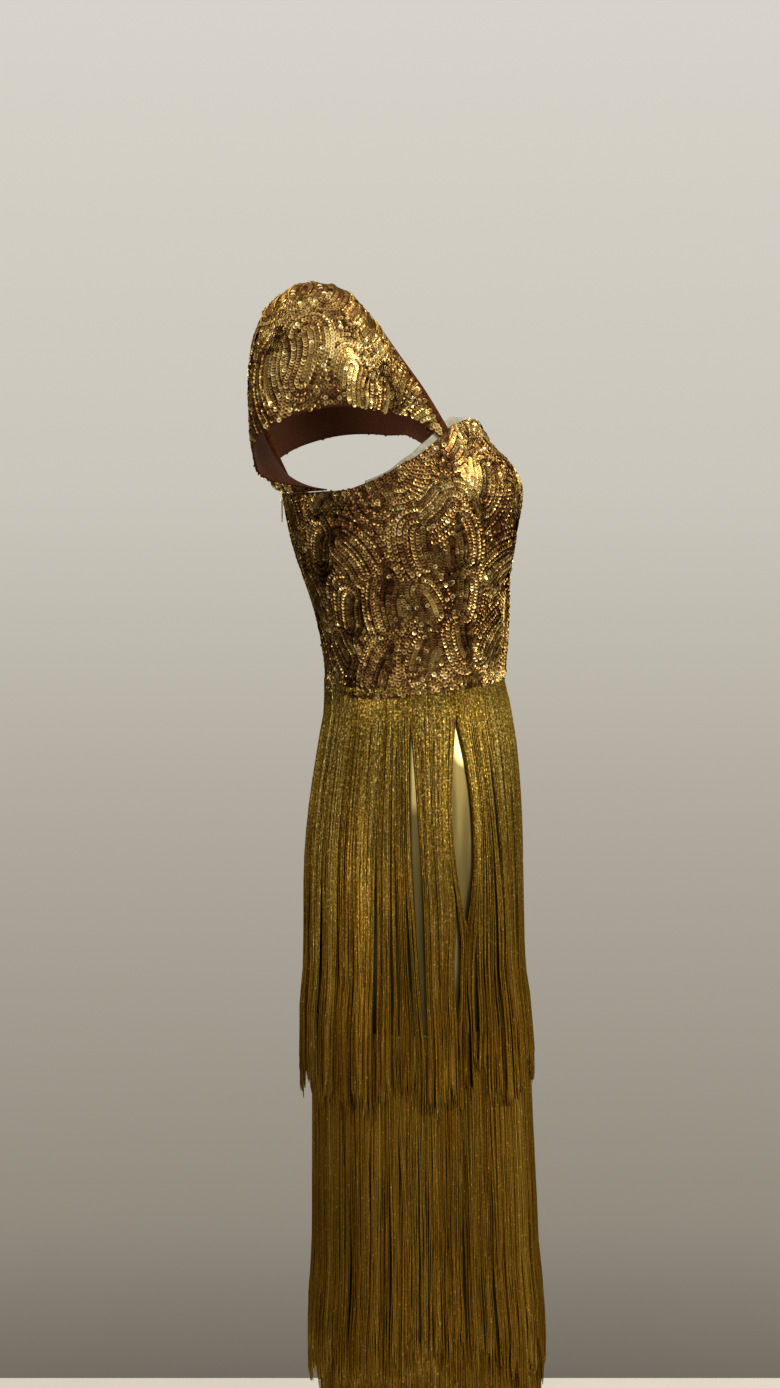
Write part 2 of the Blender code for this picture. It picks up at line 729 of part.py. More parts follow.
def pull_tab(look, collection):
    """A flat tab that hangs plumb from the slider's ring. Its origin is on the axis of its upper bar."""
    foot_centre = -TAB_LENGTH + TAB_FOOT_HALF
    foot = [
        (TAB_FOOT_HALF * math.cos(math.radians(a)), foot_centre + TAB_FOOT_HALF * math.sin(math.radians(a)))
        for a in range(-180, 1, 20)
    ]
    outer = [(TAB_TOP_HALF, TAB_BAR), (-TAB_TOP_HALF, TAB_BAR), (-TAB_TOP_HALF, -TAB_EYE_DEPTH), *foot]
    outer.append((TAB_TOP_HALF, -TAB_EYE_DEPTH))
    eye = [
        (TAB_EYE_HALF, -TAB_BAR),
        (-TAB_EYE_HALF, -TAB_BAR),
        (-TAB_EYE_HALF, -TAB_EYE_DEPTH),
        (TAB_EYE_HALF, -TAB_EYE_DEPTH),
    ]
    curve = bpy.data.curves.new("zip_tab", "CURVE")
    curve.dimensions = "2D"
    curve.fill_mode = "BOTH"
    curve.extrude = TAB_THICKNESS / 2
    outline_spline(curve, outer)
    outline_spline(curve, eye)
    made = add_object("zip_tab", curve, look, collection)
    centre, lean = slider_frame()
    made.location = centre + Matrix.Rotation(lean, 3, "X") @ tab_axis()
    made.rotation_euler = (math.pi / 2, 0, 0)


def main():
    for old in list(bpy.data.objects):
        bpy.data.objects.remove(old)
    gown = new_collection("fringed_gown")
    helpers = new_collection("helpers")
    sequin = material("gold_sequin_cloth", GOLD_SEQUIN, 0.30, 0.9)
    foil = material("gold_foil_cloth", GOLD_FOIL, 0.25, 0.9)
    thread = material("gold_fringe", GOLD_FRINGE, 0.45, 0.6)
    metal = material("gold_metal", GOLD_METAL, 0.25, 1.0)
    bodice_panels(sequin, gown)
    sleeves(sequin, material("brown_edge", BROWN_EDGE, 0.7, 0.1), gown)
    neckline_tapes(material("pale_tape", PALE_TAPE, 0.5, 0.0), gown)
    skirt_panels(foil, gown)
    for tier in TIERS:
        fringe(tier, thread, gown)
    zip_chain(metal, gown)
    zip_slider(metal, gown, helpers)
    pull_tab(metal, gown)


main()
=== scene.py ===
"""The looks of the fringed sequin gown: sewn sequins, foil skirt, metallic fringe, zip, light and camera.

Metres, in the CAD's frame: +Z up, the front faces -Y, the wearer's left is +X, and the origin is in the
bodice at the bust line. Angles are in degrees round the body, from the centre front (0) towards the
wearer's left (90) and the centre back (180).
"""

import math
from collections import namedtuple

import bpy
import numpy as np
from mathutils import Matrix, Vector, kdtree
from numpy.linalg import norm


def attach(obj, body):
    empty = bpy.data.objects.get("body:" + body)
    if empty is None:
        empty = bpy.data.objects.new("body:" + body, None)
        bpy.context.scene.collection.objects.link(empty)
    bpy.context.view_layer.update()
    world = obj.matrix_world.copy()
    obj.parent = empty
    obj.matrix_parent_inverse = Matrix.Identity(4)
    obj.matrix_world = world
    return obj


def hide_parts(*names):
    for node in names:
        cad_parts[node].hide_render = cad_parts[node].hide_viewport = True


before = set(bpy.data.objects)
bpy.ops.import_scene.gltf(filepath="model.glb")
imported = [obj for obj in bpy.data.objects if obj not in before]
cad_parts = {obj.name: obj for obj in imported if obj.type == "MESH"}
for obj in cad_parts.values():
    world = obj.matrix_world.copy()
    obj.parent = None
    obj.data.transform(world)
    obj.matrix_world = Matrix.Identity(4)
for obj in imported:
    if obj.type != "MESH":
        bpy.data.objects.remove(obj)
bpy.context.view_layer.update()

BODY = "gown"
SIDES = ((-1, "right"), (1, "left"))

# The photo's camera
EYE = Vector((-2.4, 0.0206, -0.105))
FOCAL_PX = 2328.0
PHOTO_HEIGHT_PX = 1388
HORIZON_PX = 592
SENSOR_MM = 36.0

# The gown's shape, as in the CAD
SQUARENESS = 0.90
CUP_X = 0.085
CUP_SPREAD = 0.045
CUP_FADE = 0.35
SKIRT_UNDERLAP = 0.022
SKIRT_HEM_Z = -1.200
ZIP_HALF_OPENING = 0.0028
ZIP_END_Z = -0.386
ZIP_TOP_Z = -0.0105
ZIP_CROSSES_IN = (-0.176, -0.198)
CENTRE_BACK_CLOSES = (-0.392, -0.400)
BODICE_HALF_WALL = 0.0008
SKIRT_HALF_WALL = 0.00075
# Narrower than the CAD's, so that no light shows through a seam
SEAM_GAP = 0.00004


def table(row, *values):
    """A row of named columns for each tuple of values."""
    return tuple(row(*each) for each in values)


Level = namedtuple("Level", "z front back side cup", defaults=(0,))
SIZES = Level._fields[1:]

BODICE_LEVELS = table(
    Level,
    (0.080, 0.0545, 0.1470, 0.1360, 0.0095),
    (0.067, 0.0600, 0.1455, 0.1375, 0.0131),
    (0.040, 0.0720, 0.1410, 0.1415, 0.0192),
    (0.020, 0.0820, 0.1365, 0.1445, 0.0290),
    (0.000, 0.0885, 0.1310, 0.1460, 0.0326),
    (-0.020, 0.0925, 0.1275, 0.1455, 0.0283),
    (-0.040, 0.0960, 0.1235, 0.1430, 0.0217),
    (-0.060, 0.0983, 0.1185, 0.1400, 0.0165),
    (-0.090, 0.1003, 0.1085, 0.1335, 0.0080),
    (-0.120, 0.1010, 0.0985, 0.1265, 0.0020),
    (-0.150, 0.0998, 0.0915, 0.1205),
    (-0.187, 0.0972, 0.0865, 0.1170),
    (-0.200, 0.0999, 0.0869, 0.1177),
    (-0.216, 0.1034, 0.0884, 0.1199),
)
SKIRT_LEVELS = table(
    Level,
    (-0.160, 0.0935, 0.0850, 0.1150),
    (-0.187, 0.0923, 0.0816, 0.1121),
    (-0.200, 0.0950, 0.0820, 0.1128),
    (-0.216, 0.0985, 0.0835, 0.1150),
    (-0.237, 0.1018, 0.0865, 0.1205),
    (-0.268, 0.1062, 0.0915, 0.1300),
    (-0.320, 0.1100, 0.0995, 0.1460),
    (-0.371, 0.1118, 0.1042, 0.1590),
    (-0.423, 0.1127, 0.1053, 0.1665),
    (-0.474, 0.1135, 0.1020, 0.1690),
    (-0.526, 0.1160, 0.0952, 0.1675),
    (-0.583, 0.1195, 0.0918, 0.1645),
    (-0.660, 0.1232, 0.0905, 0.1590),
    (-0.750, 0.1275, 0.0895, 0.1530),
    (-0.850, 0.1312, 0.0885, 0.1495),
    (-0.950, 0.1325, 0.0875, 0.1470),
    (-1.100, 0.1320, 0.0870, 0.1460),
    (-1.230, 0.1310, 0.0870, 0.1460),
)

Row = namedtuple("Row", "at value")

# The neckline's and the bodice hem's height by angle, and each seam's angle by height
TOP_EDGE = table(
    Row,
    *((0, 0.02), (12, 0.03), (22, 0.054), (30, 0.065), (40, 0.066), (47, 0.0645), (56, 0.06), (63, 0.0555)),
    *((70, 0.0485), (75, 0.042), (83, 0.0315), (91, 0.0215), (99.5, 0.008), (108, 0), (118, -0.006)),
    *((140, -0.007), (180, -0.004)),
)
BODICE_HEM = table(
    Row,
    *((0, -0.187), (40, -0.197), (59, -0.200), (73, -0.204), (93, -0.208), (120, -0.211), (149, -0.207)),
    (180, -0.203),
)
PRINCESS_SEAM = table(Row, (0.080, 44), (0, 36), (-0.060, 34), (-0.216, 33))
SIDE_SEAM = table(Row, (0, 108), (-0.046, 105), (-0.103, 99), (-0.184, 92.5), (-0.216, 91))
SIDE_BACK_SEAM = table(Row, (0, 146), (-0.216, 150))
SKIRT_SIDE_SEAM = table(Row, (-0.160, 92), (-1.230, 90))
CENTRE_BACK = table(Row, (0.080, 180), (-1.230, 180))

Crease = namedtuple("Crease", "angle z half_angle half_height depth lean", defaults=(0,))

# Soft troughs in the bodice, mirrored, and in the foil, each on one side. Lean is the turn in degrees for
# each metre down.
BODICE_CREASES = table(
    Crease,
    (67, -0.108, 7.0, 0.044, 0.0030),
    (49, -0.040, 4.5, 0.030, 0.0024),
    (84, -0.135, 5.0, 0.036, 0.0020),
    (122, -0.120, 7.0, 0.048, 0.0026),
    (160, -0.125, 6.0, 0.044, 0.0020),
    (17, -0.120, 6.0, 0.040, 0.0018),
)
SKIRT_CREASES = table(
    Crease,
    (-150, -0.42, 3.0, 0.20, 0.0022, 14),
    (-127, -0.36, 2.2, 0.13, 0.0018, -20),
    (-104, -0.50, 2.6, 0.24, 0.0024, 12),
    (-84, -0.46, 2.0, 0.21, 0.0030, -6),
    (-73, -0.31, 1.8, 0.08, 0.0020, 34),
    (-64, -0.44, 1.6, 0.17, 0.0022, -18),
    (-52, -0.40, 2.2, 0.15, 0.0024, -40),
    (-31, -0.48, 2.8, 0.22, 0.0022, 16),
    (-9, -0.38, 2.4, 0.14, 0.0016, -22),
    (14, -0.52, 3.0, 0.26, 0.0024, 10),
    (33, -0.36, 2.0, 0.12, 0.0020, 26),
    (58, -0.45, 2.4, 0.19, 0.0026, -14),
    (71, -0.33, 1.8, 0.10, 0.0020, 30),
    (93, -0.49, 2.6, 0.22, 0.0028, 8),
    (121, -0.40, 2.6, 0.16, 0.0020, -24),
    (146, -0.47, 2.2, 0.21, 0.0022, 12),
    (-20, -0.85, 2.6, 0.24, 0.0022, 8),
    (-70, -0.80, 2.2, 0.20, 0.0024, -10),
    (-115, -0.88, 2.8, 0.22, 0.0022, 12),
    (40, -0.83, 2.4, 0.23, 0.0022, -8),
    (88, -0.86, 2.6, 0.21, 0.0024, 10),
    (135, -0.82, 2.4, 0.20, 0.0020, -12),
)

Station = namedtuple("Station", "neck crown hem")

# The left sleeve from front to back: its neck edge, its crown and its hem
SLEEVE_STATIONS = table(
    Station,
    ((0.1290, -0.0140, 0.0900), (0.1385, -0.0080, 0.0800), (0.1405, 0.0000, 0.0640)),
    ((0.1270, 0.0100, 0.1220), (0.1530, 0.0120, 0.1030), (0.1590, 0.0220, 0.0660)),
    ((0.1250, 0.0340, 0.1545), (0.1700, 0.0340, 0.1275), (0.1810, 0.0450, 0.0690)),
    ((0.1220, 0.0610, 0.1840), (0.1845, 0.0600, 0.1500), (0.1995, 0.0720, 0.0690)),
    ((0.1190, 0.0890, 0.1940), (0.1895, 0.0920, 0.1565), (0.2060, 0.0990, 0.0640)),
    ((0.1140, 0.1145, 0.1915), (0.1830, 0.1275, 0.1475), (0.2000, 0.1280, 0.0530)),
    ((0.1080, 0.1390, 0.1680), (0.1660, 0.1520, 0.1230), (0.1820, 0.1485, 0.0370)),
    ((0.0980, 0.1520, 0.1190), (0.1420, 0.1550, 0.0825), (0.1570, 0.1505, 0.0200)),
    ((0.0840, 0.1480, 0.0640), (0.1170, 0.1520, 0.0390), (0.1330, 0.1390, 0.0040)),
)
SLEEVE_FRONT_ANGLES = (66.0, 73.0)
SLEEVE_BACK_ANGLES = (153.0, 127.0)
SLEEVE_LIFT = 0.0008
SLEEVE_END_OUT = 0.0006
BINDING_REACH = 0.0086  # the bound edge's width and its gap to the sleeve
BINDING_ROLL = 0.0013
BINDING_STITCH = 0.0004
PLEAT_START = 0.08

Pleat = namedtuple("Pleat", "at half_width height reach")

# Soft ridges that run down each sleeve from its neck edge: place and width as shares of its length
SLEEVE_PLEATS = table(
    Pleat,
    (0.40, 0.018, 0.0016, 0.50),
    (0.46, 0.016, 0.0020, 0.42),
    (0.52, 0.015, 0.0022, 0.38),
    (0.58, 0.017, 0.0018, 0.46),
    (0.66, 0.020, 0.0014, 0.55),
    (0.30, 0.022, 0.0012, 0.60),
)

# Cloth
BODICE_WALL = 0.0012
SLEEVE_WALL = 0.0012
SKIRT_WALL = 0.0007
TAPE_WALL = 0.0009
TAPE_ABOVE_EDGE = 0.0085
TAPE_BELOW_EDGE = 0.0030
TAPE_INSIDE = 0.0023
TAPE_OVER_CUP = (46, 16)
TAPE_UNDER_ARM = (98, -14)

# Sequins: a cupped ring each, sewn overlapping in rows that lean to either side in turn
SEQUIN_RADIUS = 0.0024
SEQUIN_HOLE = 0.00062
SEQUIN_CUP = 0.0005
SEQUIN_HOLE_CORNERS = 5
SEQUIN_STEP = 0.0031
ROW_STEP = 0.0050
ROW_LEAN = 10.0
SEQUIN_LIFT = 0.0009
SEQUIN_OVERLAP_TILT = 10.0
SEQUIN_TILT_SPREAD = 4.5
SEQUIN_SEAM_CLEAR = 0.0012
SEQUIN_EDGE_CLEAR = 0.0009
ASKEW_SHARE = 0.03
ASKEW_TILT = 26
SEQUIN_SIZE_SPREAD = 0.03
SEQUIN_LIFT_SPREAD = 0.0002
# Sequins that lie flat vary less and carry less of the painted shade and highlight, by these shares, and
# sit lower
FLAT_CALM = 0.75
FLAT_SHADING = 0.6
FLAT_SINK = 0.0003
# Tints run from 0, dark, to 1, bright. The waves have a depth and turns for each metre of x, y and z.
SEQUIN_TINT = 0.50
SEQUIN_TINT_SPREAD = 0.11
SEQUIN_TINT_WAVES = ((0.07, (61.0, 47.0, 83.0)), (0.05, (-139.0, 151.0, 97.0)))
# Painted light on each sequin: painted shade at its covered end under the sequin before it, rising to a
# painted highlight at its open end, and painted shade round its hole
SEQUIN_END_PAINTED_LIGHT = 0.19
SEQUIN_HOLE_PAINTED_SHADE = -0.36
DARK_SHARE = 0.05
DARK_FACTOR = 0.3
BRIGHT_SHARE = 0.03
BRIGHT_TINT = 0.85
BRIGHT_TINT_RANGE = 0.15

# The rows wind in nested ovals round short bent spines
SPINE_SPACING = 0.056
SPINE_ROW_STEP = 0.050
SPINE_JITTER = 0.008
SPINE_BEND_RADIUS = 0.060
SPINE_REACH = 0.150
SPINE_HEIGHTS = (-0.215, 0.110)
SPINE_EYES = (-0.008, 0.004)
SPINE_HALF_LENGTHS = (0.010, 0.024)
SPINE_TURN = 90
SPINE_TURN_SPREAD = 30
EYE_FADE = 0.004
ROWS = 13
FIRST_ROW = 0.0003
ROW_TINT_SPREAD = 0.05
LOOK_AHEAD = 0.0006
TERRITORY_OVERLAP = 0.0012
# Loose sequins fill what the rows leave bare
LOOSE_GRID = 0.0034
LOOSE_CLEAR = 0.0029
LOOSE_SHARE = 0.75
LOOSE_JITTER = 0.3
LOOSE_SHADE = -0.04

# What the sequins' two coordinates run over: degrees round and metres up, or shares along and across a
# sleeve
BODICE_AREA = (-180.0, 180.0, -0.212, 0.072)
SLEEVE_AREA = (0.0, 1.0, 0.0, 1.0)
BODICE_STEP = (0.5, 0.001)
SLEEVE_STEP = (0.002, 0.004)

Spine = namedtuple("Spine", "a b half_length turn bend eye")
Sewn = namedtuple("Sewn", "centres normals along out side flat shade")

# The left sleeve's spines. Place along and across it are shares, the rest is in metres and degrees.
SLEEVE_SPINES = table(
    Spine,
    (0.07, 0.60, 0.012, 60, 1, 0.002),
    (0.17, 0.35, 0.020, 75, -1, 0.002),
    (0.22, 0.90, 0.016, 100, 1, 0.002),
    (0.33, 0.30, 0.026, 84, 1, 0.003),
    (0.37, 0.88, 0.018, 98, -1, 0.002),
    (0.46, 0.22, 0.024, 92, 1, 0.002),
    (0.50, 0.74, 0.024, 86, 1, 0.003),
    (0.60, 0.18, 0.020, 84, -1, 0.002),
    (0.63, 0.80, 0.026, 95, -1, 0.002),
    (0.75, 0.34, 0.022, 60, -1, 0.005),
    (0.79, 0.95, 0.020, 112, 1, 0.002),
    (0.90, 0.45, 0.016, 70, 1, 0.003),
)

Patch = namedtuple("Patch", "middle reach")

# Where the sequins lie flat and shine together, with a painted highlight as well, then dents darkened with
# painted shade. They are in degrees and metres, and the sleeve's is in shares.
CUP_PATCH = Patch((61.0, 0.024), (6.5, 0.034))
SLEEVE_PATCH = Patch((0.38, 0.80), (0.055, 0.20))
DENTS = table(
    Patch,
    ((46.0, -0.041), (3.6, 0.015)),
    ((72.0, -0.106), (4.0, 0.028)),
    ((100.0, -0.092), (3.0, 0.016)),
)
SLEEVE_PATCH_LEAN = 0.35
PATCH_END = 1.15
PATCH_FADE = 0.3
# Painted highlight: how much lighter the sequins' tint is in the flat patches
PATCH_PAINTED_HIGHLIGHT = 0.10
# Painted shade in the dents, where the bodice folds in
DENT_PAINTED_SHADE = 0.42
# Painted shade in the bodice's soft troughs, full where a trough is this deep
TROUGH_PAINTED_SHADE = 0.30
TROUGH_DEPTH = 0.0024
# Painted shade over the whole bodice and painted light over the whole sleeve, which faces up towards the
# light
BODICE_PAINTED_SHADE = -0.08
SLEEVE_PAINTED_LIGHT = 0.03
# Painted shade over the sleeve's top, stronger in the troughs between its pleats than on their ridges
SLEEVE_TOP_PAINTED_SHADE = 0.50
SLEEVE_TOP_END = 0.52
SLEEVE_TOP_FADE = 0.36
PLEAT_BRIGHT_WIDTH = 0.017
BETWEEN_PLEATS_PAINTED_SHADE = 1.25
PLEAT_RELIEF = 0.75
SLEEVE_SEQUINS = (0.010, 0.990)

# Each tier's tint, then how far painted shade darkens its strands lower down
Tier = namedtuple("Tier", "name strands top_z length rise steps seed tint fade")

TIERS = table(
    Tier,
    ("fringe_tier_1", 1900, None, 0.403, 0.000, 16, 11, 0.48, 0.05),
    ("fringe_tier_2", 1800, -0.533, 0.362, 0.045, 12, 12, 0.52, 0.06),
    ("fringe_tier_3", 1800, -0.838, 0.362, 0.000, 12, 13, 0.52, 0.06),
)
HEADER_HEIGHT = 0.013
HEADER_ABOVE_HEM = 0.010
HEADER_WALL = 0.0012
HEADER_STANDOFF = 0.0007
FRINGE_BACK_GAP = 0.0040
STRAND_WIDTH = 0.00145
STRAND_STANDOFF = 0.0014
STRAND_LAYERS = 0.0026
STRAND_WANDER = 0.0018
NEXT_TIER_STANDOFF = 0.0042
NEXT_TIER_RAMP = 0.060
CLUMP_SPACING = 0.0065
CLUMP_PULL = 0.28
CLUMP_WANDER = 0.0026
RAGGED_CLUMP = 0.013
RAGGED_STRAND = 0.006
RAGGED_LIMITS = (-0.045, 0.022)
TAPE_HIDES = 0.006
CLUMP_PULL_SHARES = (0.35, 1.0)
FRINGE_MIDDLE_Z = -0.45
ROOT_IN_TAPE = 0.35
ROOT_CLEAR = 0.0002
ROOT_LAYERS = 0.0006
STRAND_WIDTH_SHARES = (0.75, 1.15)
STRAND_DEPTH = 0.62
CLUMP_TINT_SPREAD = 0.035
STRAND_TINT_SPREAD = 0.11
# Painted shade on the strands of the inner layers, painted light on the outer ones
LAYER_PAINTED_SHADE = 0.10
# Painted glint on each strand's knotted end
END_PAINTED_GLINT = 0.16
KNOT_SWELL = 0.4
KNOT_TAPER = 0.9
# Waves along a strand: their depth, and their turn from its root to its end in radians
SWAY_ROUND = (0.0006, 17)
SWAY_OUT = (0.0007, 11)
# Levels of a strand, as shares of its length
ROOT_LEVEL = -0.012
KNOT_LEVEL = 0.980
LEVEL_POWER = 1.25
# Where along a strand each change begins, and over how much of it
GATHERS = (0.10, 0.75)
SETTLES = (0.03, 0.10)
# Where painted shade begins to darken a strand, and over how much of it
LOWER_PAINTED_SHADE_SPAN = (0.25, 0.7)
KNOT_STARTS = (0.94, 0.04)
END_SHINES = (0.97, 0.02)
KNOT_ENDS = (0.98, 0.02)
BACK_CLOSES = (0.02, 0.14)
BACK_REACH = 9.0

Parting = namedtuple("Parting", "angle top bottom half_angle drift reach")

# Where the first tier parts and the foil shows. Drift is the turn from its top to its bottom, and reach is
# how far round it moves the strands, in degrees. The widest comes last, so that nothing closes it again.
PARTINGS = table(
    Parting,
    (-48.5, -0.240, -0.430, 1.6, 9.0, 8.0),
    (-90.5, -0.228, -0.560, 1.9, 5.0, 9.0),
    (-71, -0.400, -0.530, 1.8, -1.5, 9.0),
    (-62, -0.430, -0.580, 2.0, -2.0, 9.0),
    (-28, -0.250, -0.520, 1.4, 4.0, 12.0),
    (102, -0.240, -0.480, 1.2, -5.0, 12.0),
    (133, -0.245, -0.560, 2.8, 3.0, 16.0),
    (68, -0.245, -0.550, 3.4, -3.0, 16.0),
    (-67.2, -0.232, -0.430, 6.0, 2.5, 16.0),
)

ZIP_TOOTH_STEP = 0.0013
ZIP_TOOTH = (0.0030, 0.0011, 0.0009)
ZIP_TOOTH_ASIDE = 0.00085
ZIP_ENDS_CLEAR = (0.0012, 0.0006)

# Colours. A tuple of stops is a ramp: each stop is a place from 0 to 1 and its colour.
GRAZING_GOLD = (0.90, 0.75, 0.50, 1)
SEQUIN_GOLD = (
    (0.00, (0.040, 0.016, 0.006)),
    (0.20, (0.126, 0.056, 0.017)),
    (0.48, (0.278, 0.171, 0.048)),
    (0.76, (0.530, 0.388, 0.150)),
    (1.00, (0.930, 0.780, 0.430)),
)
YARN_GOLD = (
    (0.00, (0.046, 0.015, 0.001)),
    (0.30, (0.135, 0.063, 0.005)),
    (0.65, (0.245, 0.145, 0.018)),
    (1.00, (0.560, 0.420, 0.120)),
)
# Painted glints and dark specks: factors on the yarn's colour, calmer low down and livelier high up where
# more light falls
LOW_YARN_PAINTED_GLINTS = (
    *((0.36, (0.82, 0.75, 0.64)), (0.60, (1.15, 1.08, 0.94))),
    *((0.69, (1.35, 1.28, 1.2)), (0.72, (4.0, 4.2, 4.8))),
)
HIGH_YARN_PAINTED_GLINTS = (
    *((0.36, (0.32, 0.34, 0.40)), (0.52, (0.80, 0.88, 1.15))),
    *((0.62, (1.45, 1.7, 2.9)), (0.70, (3.6, 4.4, 8.0))),
)
# The foil's colour, darkened by painted shade under the fringe, then lighter with a painted highlight
FOIL_IN_PAINTED_SHADE = ((0.25, (0.085, 0.060, 0.018)), (0.55, (0.120, 0.088, 0.028)), (0.8, (0.155, 0.118, 0.042)))
FOIL_PAINTED_HIGHLIGHT = ((0.25, (0.310, 0.235, 0.080)), (0.55, (0.390, 0.305, 0.110)), (0.8, (0.470, 0.380, 0.150)))
FLOOR = ((0.3, (0.352, 0.322, 0.282)), (0.7, (0.368, 0.338, 0.298)))
# The plain wall by the height of the view, with painted shade that darkens it lower down, then the soft
# light around by height
WALL = (
    (0.33, (0.130, 0.115, 0.092)),
    (0.37, (0.285, 0.256, 0.208)),
    (0.45, (0.430, 0.395, 0.335)),
    (0.52, (0.590, 0.560, 0.490)),
    (0.62, (0.680, 0.650, 0.590)),
)
SURROUND = (
    (0.25, (0.050, 0.044, 0.036)),
    (0.45, (0.150, 0.138, 0.118)),
    (0.57, (0.320, 0.304, 0.272)),
    (0.95, (1.250, 1.220, 1.160)),
)

Finish = namedtuple("Finish", "name metallic roughness scale dark light bump gloss settings")

# Materials that follow one fine noise. Bump is a strength and a depth, and gloss a roughness range.
BROWN_MESH = Finish(
    *("brown_mesh", 0.0, 0.9, 1400, (0.022, 0.006, 0.003), (0.090, 0.034, 0.014)),
    *((0.5, 0.0004), None, {"Specular IOR Level": 0.04}),
)
SATIN_EDGE = Finish(
    *("brown_satin_edge", 0.0, 0.75, 320, (0.028, 0.008, 0.003), (0.085, 0.026, 0.008)),
    *((0.3, 0.0004), None, {"Specular IOR Level": 0.0}),
)
CLEAR_TAPE = Finish(
    *("pale_clear_tape", 0.0, 0.30, 180, (0.240, 0.220, 0.145), (0.340, 0.315, 0.215)),
    *(None, None, {"Alpha": 0.9, "Coat Weight": 0.3}),
)
ZIP_METAL = Finish(
    *("gold_zip_metal", 1.0, 0.25, 700, (0.560, 0.390, 0.140), (0.780, 0.600, 0.280)),
    *(None, (0.18, 0.36), {}),
)
HEADER_TAPE = Finish(
    *("gold_header_tape", 0.7, 0.42, 1100, (0.150, 0.090, 0.020), (0.420, 0.290, 0.090)),
    *((0.6, 0.0006), None, {}),
)

Shine = namedtuple("Shine", "angle z half_width half_height")

# Where a painted highlight lightens the foil, by angle and height, with sizes in metres
FOIL_PAINTED_HIGHLIGHTS = table(
    Shine,
    (-62.5, -0.254, 0.016, 0.024),
    (-89.0, -0.285, 0.012, 0.060),
    (-47.0, -0.300, 0.010, 0.050),
    (-27.0, -0.300, 0.012, 0.040),
    (-63.5, -0.510, 0.010, 0.070),
    (-72.0, -0.465, 0.008, 0.055),
    (68.0, -0.275, 0.018, 0.035),
    (101.0, -0.280, 0.012, 0.040),
    (133.0, -0.290, 0.016, 0.040),
)

FLOOR_Z = -1.268
FLOOR_SIZE = 2.0
Light = namedtuple("Light", "name place aim size power colour")

LIGHTS = table(
    Light,
    ("ceiling", (-0.9, -0.4, 2.3), (0, 0, 0.0), 1.8, 17, (1.0, 0.98, 0.91)),
    ("window", (-1.2, -2.05, 1.0), (0, 0, 0.02), 0.7, 44, (1.0, 0.97, 0.88)),
    ("key", (-2.3, -0.6, 1.5), (0, 0, 0.05), 1.2, 9, (1.0, 0.97, 0.89)),
    ("front_low", (-0.5, -2.3, -0.8), (0, 0, -0.6), 1.2, 8, (1.0, 0.96, 0.88)),
    ("side_strip", (-2.0, 2.0, -0.1), (0, 0, -0.9), 1.0, 30, (1.0, 0.96, 0.90)),
    ("low_fill", (-2.5, -0.5, -1.1), (0, 0, -1.1), 1.4, 12, (1.0, 0.95, 0.86)),
    ("back_fill", (1.9, 1.9, 1.5), (0, 0, -0.5), 1.3, 50, (1.0, 0.97, 0.92)),
    ("front_fill", (1.9, -1.9, 0.5), (0, 0, -0.3), 1.5, 48, (1.0, 0.97, 0.92)),
)


def smooth_step(value):
    """0 below 0, 1 above 1 and smooth between."""
    value = np.clip(value, 0.0, 1.0)
    return value * value * (3 - 2 * value)


def rise(value, start, span):
    """Smooth from 0 to 1 over a span that begins at start."""
    return smooth_step((value - start) / span)


def smooth_curve(rows, key="at", value="value"):
    """A function that reads one column at any place in another, by a cubic that never overshoots."""
    rows = sorted(rows, key=lambda row: getattr(row, key))
    x, y = (np.array([getattr(row, column) for row in rows], dtype=float) for column in (key, value))
    slopes = np.diff(y) / np.diff(x)
    tangents = np.concatenate((slopes[:1], np.zeros(len(y) - 2), slopes[-1:]))
    for k, (before, after) in enumerate(zip(slopes, slopes[1:]), start=1):
        if before * after > 0:
            tangents[k] = 2 * before * after / (before + after)

    def read(at):
        at = np.clip(at, x[0], x[-1])
        i = np.clip(np.searchsorted(x, at, side="right") - 1, 0, len(x) - 2)
        span = x[i + 1] - x[i]
        t = (at - x[i]) / span
        rise = (y[i + 1] - y[i]) * t * t * (3 - 2 * t)
        return y[i] + rise + span * (tangents[i] * t * (1 - t) ** 2 - tangents[i + 1] * t * t * (1 - t))

    return read


def size_curves(levels):
    return {column: smooth_curve(levels, "z", column) for column in SIZES}


bodice_sizes = size_curves(BODICE_LEVELS)
skirt_sizes = size_curves(SKIRT_LEVELS)
top_edge = smooth_curve(TOP_EDGE)
bodice_hem = smooth_curve(BODICE_HEM)
princess_seam = smooth_curve(PRINCESS_SEAM)
side_seam = smooth_curve(SIDE_SEAM)
side_back_seam = smooth_curve(SIDE_BACK_SEAM)
skirt_side_seam = smooth_curve(SKIRT_SIDE_SEAM)
centre_back = smooth_curve(CENTRE_BACK)


def unit(vectors):
    return vectors / np.maximum(norm(vectors, axis=-1, keepdims=True), 1e-12)


def dot(a, b):
    return np.sum(a * b, axis=-1, keepdims=True)


def powered(value):
    """A sine or cosine made a little squarer, as a torso's section is."""
    return np.sign(value) * np.abs(value) ** SQUARENESS


def section_points(front, back, side, cup, angle, z):
    """Points of closed sections, from the sections' sizes."""
    sine = np.sin(np.radians(angle))
    cosine = np.cos(np.radians(angle))
    x = side * powered(sine)
    y = -np.where(cosine > 0, front, back) * powered(cosine)
    cups = sum(np.exp(-(((x - centre) / CUP_SPREAD) ** 2)) for centre in (-CUP_X, CUP_X))
    return np.stack((x, y - cup * cups * smooth_step(cosine / CUP_FADE), z + 0 * x), axis=-1)


def sized_points(sizes, angle, z):
    return section_points(*(sizes[column](z) for column in SIZES), angle, z)


def crease_depth(creases, angle, z):
    """How deep the soft troughs are at each place."""
    depth = 0.0 * (angle + z)
    for crease in creases:
        across = (angle - crease.angle - crease.lean * (crease.z - z)) / crease.half_angle
        along = np.clip((z - crease.z) / crease.half_height, -1, 1)
        depth = depth + crease.depth * np.exp(-across * across) * (1 - along * along) ** 2
    return depth


